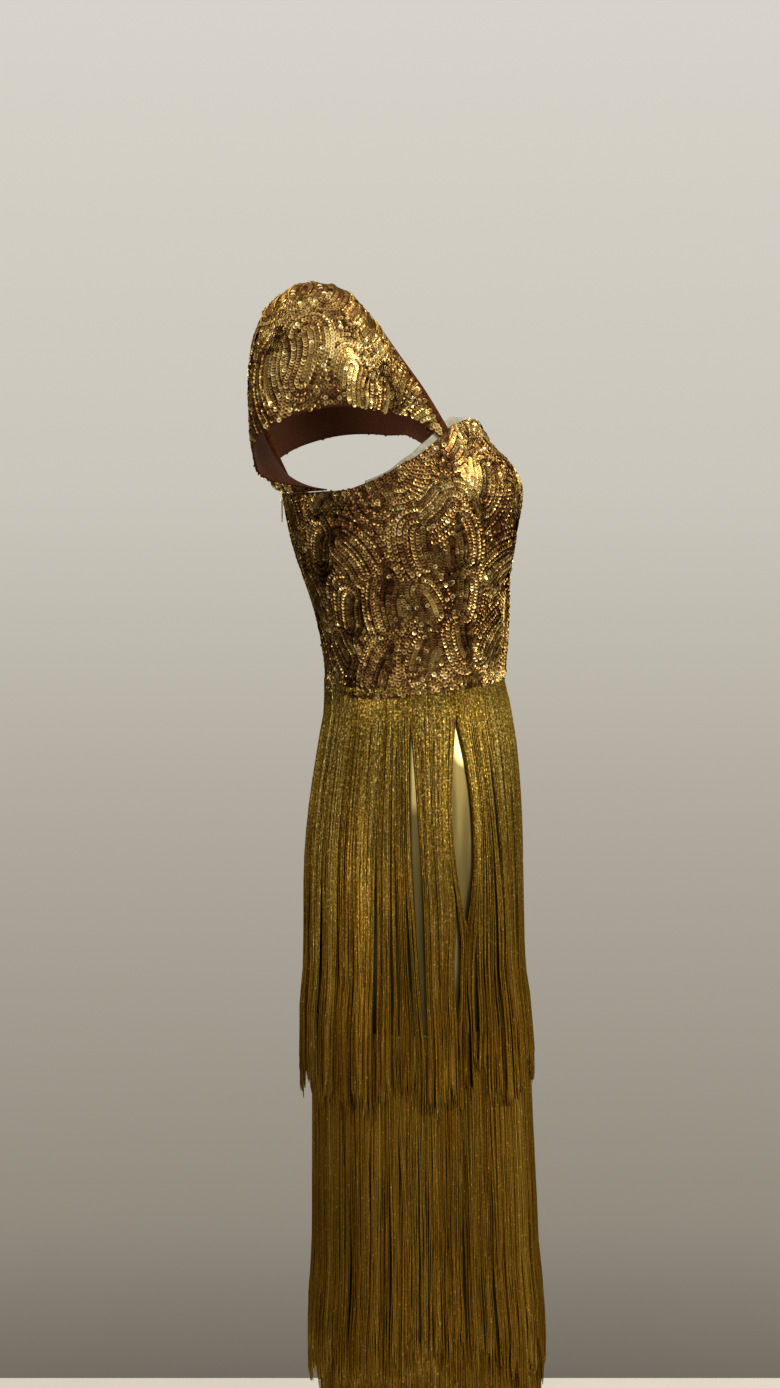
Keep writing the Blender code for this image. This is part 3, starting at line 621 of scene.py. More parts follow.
def body_surface(sizes, creases, crease_angle):
    """A surface by angle and height: sections of the given sizes, with troughs towards the body's axis."""

    def surface(angle, z):
        points = sized_points(sizes, angle, z)
        inward = unit(points * (-1, -1, 0))
        return points + inward * crease_depth(creases, crease_angle(angle), z)[..., None]

    return surface


bodice_surface = body_surface(bodice_sizes, BODICE_CREASES, np.abs)
skirt_surface = body_surface(skirt_sizes, SKIRT_CREASES, np.asarray)


def change(surface, a, b, step_a, step_b):
    """How a surface's point moves from a step before a place to a step after it."""
    return surface(a + step_a, b + step_b) - surface(a - step_a, b - step_b)


def normals_of(surface, a, b, step_a, step_b):
    """Outward normals of a surface whose first coordinate runs round to the left and second one up."""
    return unit(np.cross(change(surface, a, b, step_a, 0), change(surface, a, b, 0, step_b)))


def top_edge_z(angle):
    return top_edge(np.abs(angle))


def bodice_hem_z(angle):
    return bodice_hem(np.abs(angle))


def skirt_top_z(angle):
    return bodice_hem_z(angle) + SKIRT_UNDERLAP


def skirt_hem_z(angle):
    return SKIRT_HEM_Z + 0 * angle


def seam_gap(z):
    return SEAM_GAP / 2 + 0 * z


def centre_back_opening(z):
    """Half the gap at the centre back: the zip's width, then a closed seam."""
    start, end = CENTRE_BACK_CLOSES
    closed = smooth_step((start - z) / (start - end))
    return ZIP_HALF_OPENING * (1 - closed) + SEAM_GAP / 2 * closed


def per_degree(surface, angle, z):
    """How far a surface's point moves for a degree round the body."""
    return norm(change(surface, angle, z, 0.5, 0), axis=-1)


Edge = namedtuple("Edge", "seam side gap")


def panel_place(surface, low_z, high_z, edges, u, v):
    """The angle and height of a panel's points, with u from its first edge to its second and v upwards."""
    first, second = edges
    angle = first.side * first.seam(0) * (1 - u) + second.side * second.seam(0) * u
    for _ in range(8):
        z = low_z(angle) + v * (high_z(angle) - low_z(angle))
        start, end = first.side * first.seam(z), second.side * second.seam(z)
        start = start + first.gap(z) / per_degree(surface, start, z)
        end = end + -second.gap(z) / per_degree(surface, end, z)
        angle = start + (end - start) * u
    return angle, z


Panel = namedtuple("Panel", "node edges columns")


def bodice_panels():
    """The bodice's seven panels, as in the CAD."""
    panels = [Panel("bodice_front", [Edge(princess_seam, side, seam_gap) for side in (-1, 1)], 40)]
    for side, word in SIDES:
        seams = [Edge(seam, side, seam_gap) for seam in (princess_seam, side_seam, side_back_seam)]
        seams.append(Edge(centre_back, side, centre_back_opening))
        for k, (piece, columns) in enumerate((("side_front", 36), ("side_back", 24), ("back", 20))):
            panels.append(Panel(f"bodice_{piece}_{word}", seams[k : k + 2][::side], columns))
    return panels


def skirt_panels():
    """The foil skirt's three panels, as in the CAD."""
    right, left = (Edge(skirt_side_seam, side, seam_gap) for side in (-1, 1))
    back_right, back_left = (Edge(centre_back, side, centre_back_opening) for side in (-1, 1))
    return (
        Panel("skirt_front", (right, left), 84),
        Panel("skirt_back_right", (back_right, right), 42),
        Panel("skirt_back_left", (left, back_left), 42),
    )


def spline_points(points, t):
    """Points of the smooth curve through the given points, t from 0 to 1."""
    points = np.asarray(points, dtype=float)
    last = len(points) - 1
    span = np.clip(t, 0, 1) * last
    i = np.minimum(span.astype(int), last - 1)
    f = (span - i)[..., None]
    before, start, end, after = (points[np.clip(i + k, 0, last)] for k in (-1, 0, 1, 2))
    return 0.5 * (
        2 * start
        + (end - before) * f
        + (2 * before - 5 * start + 4 * end - after) * f * f
        + (3 * start - before - 3 * end + after) * f * f * f
    )


def end_station(angles, inset):
    """Where a sleeve meets the bodice's top edge, between two angles."""
    angle = np.array((angles[0], sum(angles) / 2, angles[1]))
    z = top_edge_z(angle)
    points = bodice_surface(angle, z) - inset * normals_of(bodice_surface, angle, z, *BODICE_STEP)
    return Station(*(points + (0, 0, SLEEVE_LIFT)))


all_stations = [
    end_station(SLEEVE_FRONT_ANGLES, -SLEEVE_END_OUT),
    *SLEEVE_STATIONS,
    end_station(SLEEVE_BACK_ANGLES, 0.0),
]


def plain_sleeve(u, v):
    """The left sleeve's outer face: u from its front to its back, v from its neck edge to its hem."""
    neck, crown, hem = (
        spline_points([getattr(station, line) for station in all_stations], u) for line in Station._fields
    )
    v = v[..., None]
    return neck * (2 * v - 1) * (v - 1) + crown * 4 * v * (1 - v) + hem * v * (2 * v - 1)


def sleeve_surface(u, v):
    """The left sleeve with its soft pleats."""
    points = plain_sleeve(u, v)
    height = 0.0 * (u + v)
    for pleat in SLEEVE_PLEATS:
        across = (u - pleat.at) / pleat.half_width
        down = np.clip(v / pleat.reach, 0, 1)
        ridge = pleat.height * np.exp(-across * across) * (1 - down * down)
        height = height + ridge * smooth_step(v / PLEAT_START)
    out = unit(np.cross(change(plain_sleeve, u, v, 0.01, 0), points - plain_sleeve(u, v + 0.02)))
    return points + out * height[..., None]


def sleeve_width(u):
    """The sleeve's width at a station, measured over its crown."""
    v = np.linspace(0, 1, 25)
    shape = np.broadcast_to(np.asarray(u, dtype=float)[..., None], np.shape(u) + v.shape)
    points = plain_sleeve(shape, np.broadcast_to(v, shape.shape))
    return norm(np.diff(points, axis=-2), axis=-1).sum(axis=-1)


def linked(made):
    bpy.context.scene.collection.objects.link(made)
    return made


def mesh_from(name, points, faces, tint=None):
    """A piece from arrays of points and of faces that all have as many corners."""
    mesh = bpy.data.meshes.new(name)
    points = np.asarray(points, dtype=np.float32).reshape(-1, 3)
    mesh.vertices.add(len(points))
    mesh.vertices.foreach_set("co", points.ravel())
    mesh.loops.add(faces.size)
    mesh.loops.foreach_set("vertex_index", faces.astype(np.int32).ravel())
    mesh.polygons.add(len(faces))
    mesh.polygons.foreach_set("loop_start", np.arange(0, faces.size, faces.shape[1], dtype=np.int32))
    mesh.update(calc_edges=True)
    mesh.shade_smooth()
    if tint is not None:
        layer = mesh.attributes.new("tint", "FLOAT", "POINT")
        layer.data.foreach_set("value", np.asarray(tint, dtype=np.float32).ravel())
    return linked(bpy.data.objects.new(name, mesh))


def grid_faces(columns, rows):
    """The quads of a grid whose points go row by row."""
    across = columns + 1
    corner = (np.arange(rows)[:, None] * across + np.arange(columns)).ravel()
    return np.stack((corner, corner + 1, corner + across + 1, corner + across), axis=1)


def repeated(faces, points, count):
    """The faces of many copies of a small mesh that has this many points."""
    faces = np.array(faces)
    return (faces[None] + (np.arange(count) * points)[:, None, None]).reshape(-1, faces.shape[1])


def finished(piece, material, node=None):
    """Gives a piece its material, its body and, where it stands for one, its CAD node."""
    piece.data.materials.append(material)
    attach(piece, BODY)
    if node:
        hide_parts(node)
    return piece


def shell(name, place, columns, rows, wall):
    """A thin shell of cloth and the flat size that its outer face works out to."""
    points = place(*np.meshgrid(np.linspace(0, 1, columns + 1), np.linspace(0, 1, rows + 1)))
    piece = mesh_from(name, points, grid_faces(columns, rows))
    solid = piece.modifiers.new("wall", "SOLIDIFY")
    solid.thickness = wall
    solid.offset = -1
    solid.use_even_offset = True
    across = norm(np.diff(points, axis=1), axis=-1)
    down = norm(np.diff(points, axis=0), axis=-1)
    cells = np.cross(points[:-1, 1:] - points[:-1, :-1], points[1:, :-1] - points[:-1, :-1])
    flat = (float(across.sum(axis=1).max()), float(down.sum(axis=0).max()))
    return piece, flat, float(norm(cells, axis=-1).sum())


class Graph:
    """A node tree, with short ways to add its nodes."""

    def __init__(self, tree):
        self.nodes, self.links = tree.nodes, tree.links
        self.shader = tree.nodes.get("Principled BSDF")

    def put(self, node, values):
        """Sets a node's inputs to numbers or joins them to sockets."""
        for name, value in values.items():
            if isinstance(value, bpy.types.NodeSocket):
                self.links.new(value, node.inputs[name])
            else:
                node.inputs[name].default_value = value

    def add(self, kind, output, values=None, **settings):
        """One output of a new node."""
        node = self.nodes.new("ShaderNode" + kind)
        for name, value in settings.items():
            setattr(node, name, value)
        self.put(node, values or {})
        return node.outputs[output]

    def noise(self, scale, detail=3.0, stretch=None):
        """A noise texture in metres, stretched along Z where asked."""
        place = self.add("TexCoord", "Object")
        if stretch:
            place = self.add("Mapping", "Vector", {"Scale": (1, 1, 1 / stretch), "Vector": place})
        return self.add("TexNoise", "Fac", {"Scale": scale, "Detail": detail, "Vector": place})

    def ramp(self, value, stops):
        """A colour ramp over a value."""
        colour = self.add("ValToRGB", "Color", {"Fac": value})
        elements = colour.node.color_ramp.elements
        while len(elements) < len(stops):
            elements.new(0.5)
        for element, (place, shade) in zip(elements, stops):
            element.position = place
            element.color = (*shade, 1)
        return colour

    def spread(self, value, low, high, start=0, end=1):
        """A value mapped from one range, 0 to 1 unless given, to another."""
        values = {"Value": value, "From Min": start, "From Max": end, "To Min": low, "To Max": high}
        return self.add("MapRange", "Result", values)

    def height(self, low, high, place="Object"):
        """0 below one height and 1 above another."""
        z = self.add("SeparateXYZ", "Z", {"Vector": self.add("TexCoord", place)})
        return self.spread(z, 0, 1, low, high)

    def mixed(self, blend, factor, a, b):
        """Two colours blended by a number or by a value."""
        return self.add("Mix", 2, {"Factor": factor, 6: a, 7: b}, data_type="RGBA", blend_type=blend)

    def bump(self, value, strength, distance):
        values = {"Strength": strength, "Distance": distance, "Height": value}
        self.put(self.shader, {"Normal": self.add("Bump", "Normal", values)})


def new_material(name, metallic, roughness):
    made = bpy.data.materials.new(name)
    made.use_nodes = True
    graph = Graph(made.node_tree)
    graph.put(graph.shader, {"Metallic": metallic, "Roughness": roughness})
    if metallic > 0.5:
        graph.put(graph.shader, {"Specular Tint": GRAZING_GOLD})
    return made, graph


def finish_material(finish):
    """A material whose colour, gloss and bump follow one fine noise."""
    made, graph = new_material(finish.name, finish.metallic, finish.roughness)
    grain = graph.noise(finish.scale)
    colour = graph.ramp(grain, ((0.3, finish.dark), (0.7, finish.light)))
    graph.put(graph.shader, {"Base Color": colour, **finish.settings})
    if finish.gloss:
        graph.put(graph.shader, {"Roughness": graph.spread(grain, *finish.gloss)})
    if finish.bump:
        graph.bump(grain, *finish.bump)
    return made


def sequin_material():
    """Gold foil sequins, each with its own tint."""
    made, graph = new_material("gold_sequins", 1.0, 0.24)
    tint = graph.add("Attribute", "Fac", attribute_name="tint")
    gloss = graph.spread(graph.noise(900), 0.26, 0.42)
    graph.put(graph.shader, {"Base Color": graph.ramp(tint, SEQUIN_GOLD), "Roughness": gloss})
    return made


def painted_highlight_share(graph, highlight):
    """1 in the middle of a painted highlight on the foil and 0 outside it."""
    scale = (1 / highlight.half_width, 1 / highlight.half_width, 1 / highlight.half_height)
    middle = skirt_surface(np.array(highlight.angle), np.array(highlight.z))
    moved = [-float(c) * s for c, s in zip(middle, scale)]
    values = {"Scale": scale, "Location": moved, "Vector": graph.add("TexCoord", "Object")}
    away = graph.add("VectorMath", "Value", {0: graph.add("Mapping", "Vector", values)}, operation="LENGTH")
    return graph.spread(away, 0, 1, 1.15, 0.75)


def foil_material():
    """Stretch cloth with a gold foil face, darkened by painted shade except in a few places that carry a
    painted highlight.
    """
    made, graph = new_material("gold_foil", 0.85, 0.3)
    patches = graph.noise(14, 4, stretch=3.0)
    parts = [graph.ramp(patches, stops) for stops in (FOIL_IN_PAINTED_SHADE, FOIL_PAINTED_HIGHLIGHT)]
    # Painted highlight: in these places the foil's colour goes light and its roughness drops
    bright = painted_highlight_share(graph, FOIL_PAINTED_HIGHLIGHTS[0])
    for highlight in FOIL_PAINTED_HIGHLIGHTS[1:]:
        bright = graph.add("Math", "Value", {0: bright, 1: painted_highlight_share(graph, highlight)}, operation="MAXIMUM")
    colour = graph.mixed("MIX", bright, *parts)
    graph.put(graph.shader, {"Base Color": colour, "Roughness": graph.spread(bright, 0.44, 0.28)})
    graph.bump(graph.noise(55, 3, stretch=4.0), 0.25, 0.0016)
    return made


def fringe_material():
    """Fine metallic chain yarn: a tint for each strand, and painted glints and dark specks in its colour,
    livelier near the top where more light falls.
    """
    made, graph = new_material("gold_fringe", 1.0, 0.36)
    glitter = graph.noise(480, 2)
    # Painted glints and dark specks, mixed from the calm set low down to the lively set high up
    parts = [graph.ramp(glitter, stops) for stops in (LOW_YARN_PAINTED_GLINTS, HIGH_YARN_PAINTED_GLINTS)]
    painted_glints = graph.mixed("MIX", graph.height(-0.52, -0.27), *parts)
    tint = graph.ramp(graph.add("Attribute", "Fac", attribute_name="tint"), YARN_GOLD)
    colour = graph.mixed("MULTIPLY", 1.0, tint, painted_glints)
    graph.put(graph.shader, {"Base Color": colour, "Roughness": graph.spread(glitter, 0.5, 0.22)})
    graph.bump(glitter, 0.4, 0.0009)
    return made


def sequin_rings():
    """The points of one cupped ring, flat on XY, and its triangles."""
    corners = SEQUIN_HOLE_CORNERS
    circles = []
    for count, radius, z in ((2 * corners, SEQUIN_RADIUS, 0), (corners, SEQUIN_HOLE, -SEQUIN_CUP)):
        turn = np.arange(count) * 2 * math.pi / count
        circles.append(np.stack((np.cos(turn) * radius, np.sin(turn) * radius, z + 0 * turn), axis=1))
    faces = []
    for j in range(corners):
        a, b, c = 2 * j, 2 * j + 1, (2 * j + 2) % (2 * corners)
        near, far = 2 * corners + j, 2 * corners + (j + 1) % corners
        faces += [(a, b, near), (b, c, far), (b, far, near)]
    return np.concatenate(circles), faces


def sequin_piece(name, sewn, seed, material):
    """A joined mesh of sequins that overlap along their rows."""
    chance = np.random.default_rng(seed)
    count = len(sewn.centres)
    ring, faces = sequin_rings()
    normals = sewn.normals
    along = unit(sewn.along - normals * dot(sewn.along, normals))
    beside = np.cross(normals, along)
    beside = beside * np.sign(dot(beside, sewn.out) + 1e-9)
    calm = 1 - FLAT_CALM * sewn.flat
    tilt = chance.normal(SEQUIN_OVERLAP_TILT, SEQUIN_TILT_SPREAD, count) * calm
    roll = (ROW_LEAN * sewn.side + chance.normal(0, SEQUIN_TILT_SPREAD, count)) * calm
    askew = chance.random(count) < ASKEW_SHARE
    tilt[askew] += chance.normal(0, ASKEW_TILT, askew.sum())
    tilt, roll = np.radians(tilt)[:, None], np.radians(roll)[:, None]
    axis_x = along * np.cos(tilt) + normals * np.sin(tilt)
    axis_y = beside * np.cos(roll) - normals * np.sin(roll)
    axis_y = unit(axis_y - axis_x * dot(axis_x, axis_y))
    axis_z = np.cross(axis_x, axis_y)
    handed = np.sign(dot(axis_z, normals))
    local = ring[None] * chance.normal(1.0, SEQUIN_SIZE_SPREAD, count)[:, None, None]
    local[..., 2] *= calm[:, None]
    lift = SEQUIN_LIFT - FLAT_SINK * sewn.flat + chance.uniform(-1, 1, count) * SEQUIN_LIFT_SPREAD
    centres = sewn.centres + normals * lift[:, None]
    points = centres[:, None]
    for k, axis in enumerate((axis_x, axis_y * handed, axis_z * handed)):
        points = points + local[..., k : k + 1] * axis[:, None]
    drift = sum(depth * np.sin(centres @ wave) for depth, wave in SEQUIN_TINT_WAVES)
    tint = SEQUIN_TINT + chance.normal(0, SEQUIN_TINT_SPREAD, count) * calm + drift + sewn.shade
    tint[chance.random(count) < DARK_SHARE] *= DARK_FACTOR
    bright = chance.random(count) < BRIGHT_SHARE
    tint[bright] = BRIGHT_TINT + BRIGHT_TINT_RANGE * chance.random(bright.sum())
    # Painted shade at each sequin's covered end and round its hole, and a painted highlight at its open end
    shading = np.where(ring[:, 2] < 0, SEQUIN_HOLE_PAINTED_SHADE, SEQUIN_END_PAINTED_LIGHT * ring[:, 0] / SEQUIN_RADIUS)
    tint = tint[:, None] + shading * (1 - FLAT_SHADING * sewn.flat[:, None])
    piece = mesh_from(name, points, repeated(faces, len(ring), count), np.clip(tint, 0, 1))
    return finished(piece, material)


def spine_distance(spine, x, y):
    """How far places lie from a bent spine, in metres from its middle."""
    p = x * math.cos(spine.turn) + y * math.sin(spine.turn)
    q = (-x * math.sin(spine.turn) + y * math.cos(spine.turn)) * spine.bend + SPINE_BEND_RADIUS
    along = SPINE_BEND_RADIUS * np.arctan2(p, q)
    return np.hypot(np.maximum(np.abs(along) - spine.half_length, 0), np.hypot(p, q) - SPINE_BEND_RADIUS)


def spine_line(spine, distance):
    """Evenly spaced places on the oval round a spine, then places a little along it and outside it."""
    turn = np.linspace(0, 2 * math.pi, 181)

    def oval(distance):
        return distance * np.cos(turn) + spine.half_length * np.sign(np.cos(turn)), distance * np.sin(turn)

    p, q = oval(distance)
    p_out, q_out = oval(distance + LOOK_AHEAD)
    length = np.concatenate(((0,), np.cumsum(np.hypot(np.diff(p), np.diff(q)))))
    count = max(1, round(length[-1] / SEQUIN_STEP))
    at = (np.arange(count) + 0.5) / count * length[-1]
    places = []
    for where, across, outward in ((at, p, q), (at + LOOK_AHEAD, p, q), (at, p_out, q_out)):
        where = where % length[-1]
        bent = np.interp(where, length, across) / SPINE_BEND_RADIUS
        radius = SPINE_BEND_RADIUS + np.interp(where, length, outward)
        x = radius * np.sin(bent)
        y = (radius * np.cos(bent) - SPINE_BEND_RADIUS) * spine.bend
        places.append(x * math.cos(spine.turn) - y * math.sin(spine.turn))
        places.append(x * math.sin(spine.turn) + y * math.cos(spine.turn))
    return np.stack(places)


def loose_places(surface, step, area, rows, chance):
    """Places on a jittered grid that lie clear of the sequins in the rows, in random directions."""
    low_a, high_a, low_b, high_b = area
    middle = np.array((low_a + high_a) / 2), np.array((low_b + high_b) / 2)
    step_a = LOOSE_GRID * 2 * step[0] / norm(change(surface, *middle, step[0], 0))
    step_b = LOOSE_GRID * 2 * step[1] / norm(change(surface, *middle, 0, step[1]))
    a, b = np.meshgrid(np.arange(low_a, high_a, step_a), np.arange(low_b, high_b, step_b))
    a = a.ravel() + chance.uniform(-LOOSE_JITTER, LOOSE_JITTER, a.size) * step_a
    b = b.ravel() + chance.uniform(-LOOSE_JITTER, LOOSE_JITTER, b.size) * step_b
    tree = kdtree.KDTree(len(rows))
    for k, point in enumerate(rows):
        tree.insert(point, k)
    tree.balance()
    bare = np.array([tree.find(point)[2] > LOOSE_CLEAR for point in surface(a, b)])
    bare &= chance.random(len(a)) < LOOSE_SHARE
    a, b = a[bare], b[bare]
    turn = chance.uniform(0, 2 * math.pi, len(a))
    ahead = step_a * LOOK_AHEAD / LOOSE_GRID, step_b * LOOK_AHEAD / LOOSE_GRID
    forward = a + ahead[0] * np.cos(turn), b + ahead[1] * np.sin(turn)
    aside = a - ahead[0] * np.sin(turn), b + ahead[1] * np.cos(turn)
    return np.stack((a, b, *forward, *aside, 0 * a, 0 * a + LOOSE_SHADE, 0 * a))


def sewn_on(surface, step, spines, outward, area, chance, turn_length=None):
    """Sequins in nested rows on a surface, each in its nearest spine's territory, and loose ones between.

    The surface is read by two coordinates. step holds a small change in each, and area both ranges.
    turn_length is the first one's full turn, where it closes on itself.
    """
    a, b = (np.array([getattr(spine, column) for spine in spines]) for column in "ab")
    per_a = norm(change(surface, a, b, step[0], 0), axis=-1) / (2 * step[0])
    per_b = norm(change(surface, a, b, 0, step[1]), axis=-1) / (2 * step[1])
    found = []
    for k, spine in enumerate(spines):
        lines = []
        for row in range(ROWS):
            line = spine_line(spine, ROW_STEP * row + FIRST_ROW)
            lean = 0 if row == 0 else 1 - 2 * (row % 2)
            extra = np.full((2, line.shape[1]), ((lean,), (chance.normal(0, ROW_TINT_SPREAD),)))
            lines.append(np.concatenate((line, extra)))
        places = np.concatenate(lines, axis=1)
        own = spine_distance(spine, places[0], places[1])
        turned = a - spine.a
        if turn_length:
            turned = (turned + turn_length / 2) % turn_length - turn_length / 2
        across = turned * per_a[k]
        up = (b - spine.b) * per_b[k]
        keep = np.ones(places.shape[1], dtype=bool)
        for other in np.flatnonzero(np.hypot(across, up) < SPINE_REACH):
            if other != k:
                theirs = spine_distance(spines[other], places[0] - across[other], places[1] - up[other])
                keep &= own < theirs + TERRITORY_OVERLAP
        places, own = places[:, keep], own[keep]
        places[0:6:2] = places[0:6:2] / per_a[k] + spine.a
        places[1:6:2] = places[1:6:2] / per_b[k] + spine.b
        flat = smooth_step((spine.eye - own) / EYE_FADE + 1)
        found.append(np.concatenate((places, flat[None])))
    places = np.concatenate(found, axis=1)
    if turn_length:
        places[0:6:2] -= np.floor(places[0] / turn_length + 0.5) * turn_length
    loose = loose_places(surface, step, area, surface(places[0], places[1]), chance)
    a, b, a_along, b_along, a_out, b_out, side, shade, flat = np.concatenate((places, loose), axis=1)
    centres = surface(a, b)
    normals = outward * normals_of(surface, a, b, *step)
    along, out = surface(a_along, b_along) - centres, surface(a_out, b_out) - centres
    return a, b, Sewn(centres, normals, along, out, side, flat, shade)


def chosen(sewn, kept):
    return Sewn(*(column[kept] for column in sewn))


def bodice_spines(chance):
    """Seeded spines in staggered rows, the same on both sides of the body."""
    spines = []
    for k, z in enumerate(np.arange(*SPINE_HEIGHTS, SPINE_ROW_STEP)):
        round_length = math.pi * float(bodice_sizes["side"](z) + bodice_sizes["front"](z) + 0.02) / 2
        count = round(round_length / SPINE_SPACING)
        for n in range(count + 1):
            angle = 180 * (n + 0.5 * (k % 2)) / count
            if angle > 181:
                continue
            eye = chance.uniform(*SPINE_EYES)
            half_length = chance.uniform(*SPINE_HALF_LENGTHS)
            turn = math.radians(chance.normal(SPINE_TURN, SPINE_TURN_SPREAD))
            aside, up = chance.normal(0, SPINE_JITTER, 2)
            bend = 1 if chance.random() < 0.5 else -1
            if angle in (0, 180):
                spines.append(Spine(angle, z + up, half_length, math.radians(90), bend, eye))
                continue
            spine = Spine(angle + aside / round_length * 180, z + up, half_length, turn, bend, eye)
            spines += [spine, spine._replace(a=-spine.a, turn=math.pi - turn, bend=-bend)]
    return spines


def patch_share(patch, a, b):
    """How far places belong to an oval patch, from 0 to 1."""
    away = np.hypot((a - patch.middle[0]) / patch.reach[0], (b - patch.middle[1]) / patch.reach[1])
    return smooth_step((PATCH_END - away) / PATCH_FADE)


def bodice_sequins(material):
    """A joined mesh of sequins for each panel of the bodice."""
    chance = np.random.default_rng(5)
    spines = bodice_spines(chance)
    angle, z, sewn = sewn_on(bodice_surface, BODICE_STEP, spines, 1, BODICE_AREA, chance, 360)
    turn = np.abs(angle)
    # Painted shade: sequins darker in the soft troughs
    trough = np.clip(crease_depth(BODICE_CREASES, angle, z) / TROUGH_DEPTH, 0, 1)
    # The cup's flat patch, lighter with a painted highlight
    patch = patch_share(CUP_PATCH, turn, z)
    shade = sewn.shade + BODICE_PAINTED_SHADE + PATCH_PAINTED_HIGHLIGHT * patch - TROUGH_PAINTED_SHADE * trough**2
    # Painted shade: sequins darker in the dents
    shade = shade - DENT_PAINTED_SHADE * sum(patch_share(dent, turn, z) for dent in DENTS)
    sewn = sewn._replace(flat=np.maximum(sewn.flat, patch), shade=shade)
    degree = per_degree(bodice_surface, angle, z)
    inside = (z < top_edge_z(angle) - SEQUIN_EDGE_CLEAR) & (z > bodice_hem_z(angle) + SEQUIN_EDGE_CLEAR)
    stems = {"side_front": princess_seam, "side_back": side_seam, "back": side_back_seam}
    for seam in stems.values():
        inside &= np.abs(turn - seam(z)) * degree > SEQUIN_SEAM_CLEAR
    inside &= (180 - turn) * degree > ZIP_HALF_OPENING + SEQUIN_RADIUS * 0.8
    panels = {"bodice_front": inside & (turn < princess_seam(z))}
    ends = (side_seam, side_back_seam, centre_back)
    for side, word in SIDES:
        for (stem, start), end in zip(stems.items(), ends):
            between = (turn > start(z)) & (turn < end(z))
            panels[f"bodice_{stem}_{word}"] = inside & (angle * side > 0) & between
    return {
        node: sequin_piece(f"sequins_{node}", chosen(sewn, held), 100 + k, material)
        for k, (node, held) in enumerate(panels.items())
    }


def bodice(ground, sequins, tapes):
    """The bodice's panels of brown mesh with their sequins."""
    sewn = bodice_sequins(sequins)
    for panel in bodice_panels():

        def place(u, v, edges=panel.edges):
            return bodice_surface(*panel_place(bodice_surface, bodice_hem_z, top_edge_z, edges, u, v))

        piece, flat, area = shell(f"{panel.node}_cloth", place, panel.columns, 48, BODICE_WALL)
        finished(piece, ground, panel.node)


def sleeve_sequins():
    """The left sleeve's sequins, clear of its edges, with painted shade over its top that is deepest
    between its pleats.
    """
    chance = np.random.default_rng(6)
    spines = [spine._replace(turn=math.radians(spine.turn)) for spine in SLEEVE_SPINES]
    u, v, sewn = sewn_on(sleeve_surface, SLEEVE_STEP, spines, -1, SLEEVE_AREA, chance)
    down = sleeve_surface(u, v + 0.01) - sleeve_surface(u, v)
    over_shoulder = (v[:, None] < 0.5) & (dot(sewn.along, down) > 0)
    along = np.where(over_shoulder, -sewn.along, sewn.along)
    patch = patch_share(SLEEVE_PATCH, u + SLEEVE_PATCH_LEAN * (v - SLEEVE_PATCH.middle[1]), v)
    pleat_at = np.array([pleat.at for pleat in SLEEVE_PLEATS])
    ridge = np.sum(np.exp(-(((u - pleat_at[:, None]) / PLEAT_BRIGHT_WIDTH) ** 2)), axis=0)
    shade = SLEEVE_PAINTED_LIGHT + PATCH_PAINTED_HIGHLIGHT * patch
    # Painted shade over the top, deepest between the pleats
    top = smooth_step((SLEEVE_TOP_END - v) / SLEEVE_TOP_FADE)
    shade = shade - SLEEVE_TOP_PAINTED_SHADE * top * (BETWEEN_PLEATS_PAINTED_SHADE - PLEAT_RELIEF * ridge)
    sewn = sewn._replace(along=along, flat=np.maximum(sewn.flat, patch), shade=sewn.shade + shade)
    width = sleeve_width(np.clip(u, 0, 1))
    start, end = SLEEVE_SEQUINS
    inside = (u > start) & (u < end) & (v * width > BINDING_REACH + SEQUIN_EDGE_CLEAR)
    return chosen(sewn, inside & ((1 - v) * width > SEQUIN_EDGE_CLEAR))


def sleeves(ground, sequins, edge):
    """The cap sleeves with their sequins and bound edges."""
    left = sleeve_sequins()

    def cap(u, v):
        start = BINDING_REACH / sleeve_width(u)
        return sleeve_surface(u, start + (1 - start) * v)

    def bound_edge(u, v):
        stitch = BINDING_STITCH * np.exp(-(((v - 0.62) / 0.08) ** 2))
        roll = BINDING_ROLL * np.sin(math.pi * v) ** 0.7 - stitch
        share = BINDING_REACH * 0.99 / sleeve_width(u) * v
        inward = normals_of(sleeve_surface, u, share, *SLEEVE_STEP)
        return sleeve_surface(u, share) - roll[..., None] * inward

    for side, word in SIDES:

        def placed(surface, side=side):
            return lambda u, v: surface(u if side < 0 else 1 - u, v) * (side, 1, 1)

        vectors = (column * (side, 1, 1) for column in left[:4])
        sewn = sequin_piece(f"sequins_sleeve_{word}", Sewn(*vectors, *left[4:]), 200 + side, sequins)
        bound, _, _ = shell(f"sleeve_edge_{word}_satin", placed(bound_edge), 120, 8, TAPE_WALL)
        finished(bound, edge, f"sleeve_edge_{word}")
        piece, flat, area = shell(f"sleeve_{word}_cloth", placed(cap), 84, 30, SLEEVE_WALL)
        finished(piece, ground, f"sleeve_{word}")


def tape_rise(angle):
    """How far the pale tape stands above the edge: most of all below the sleeve's front end."""
    over_cup = rise(np.abs(angle), *TAPE_OVER_CUP)
    under_arm = rise(np.abs(angle), *TAPE_UNDER_ARM)
    return TAPE_ABOVE_EDGE * (0.35 + 0.65 * over_cup) * (0.3 + 0.7 * under_arm)


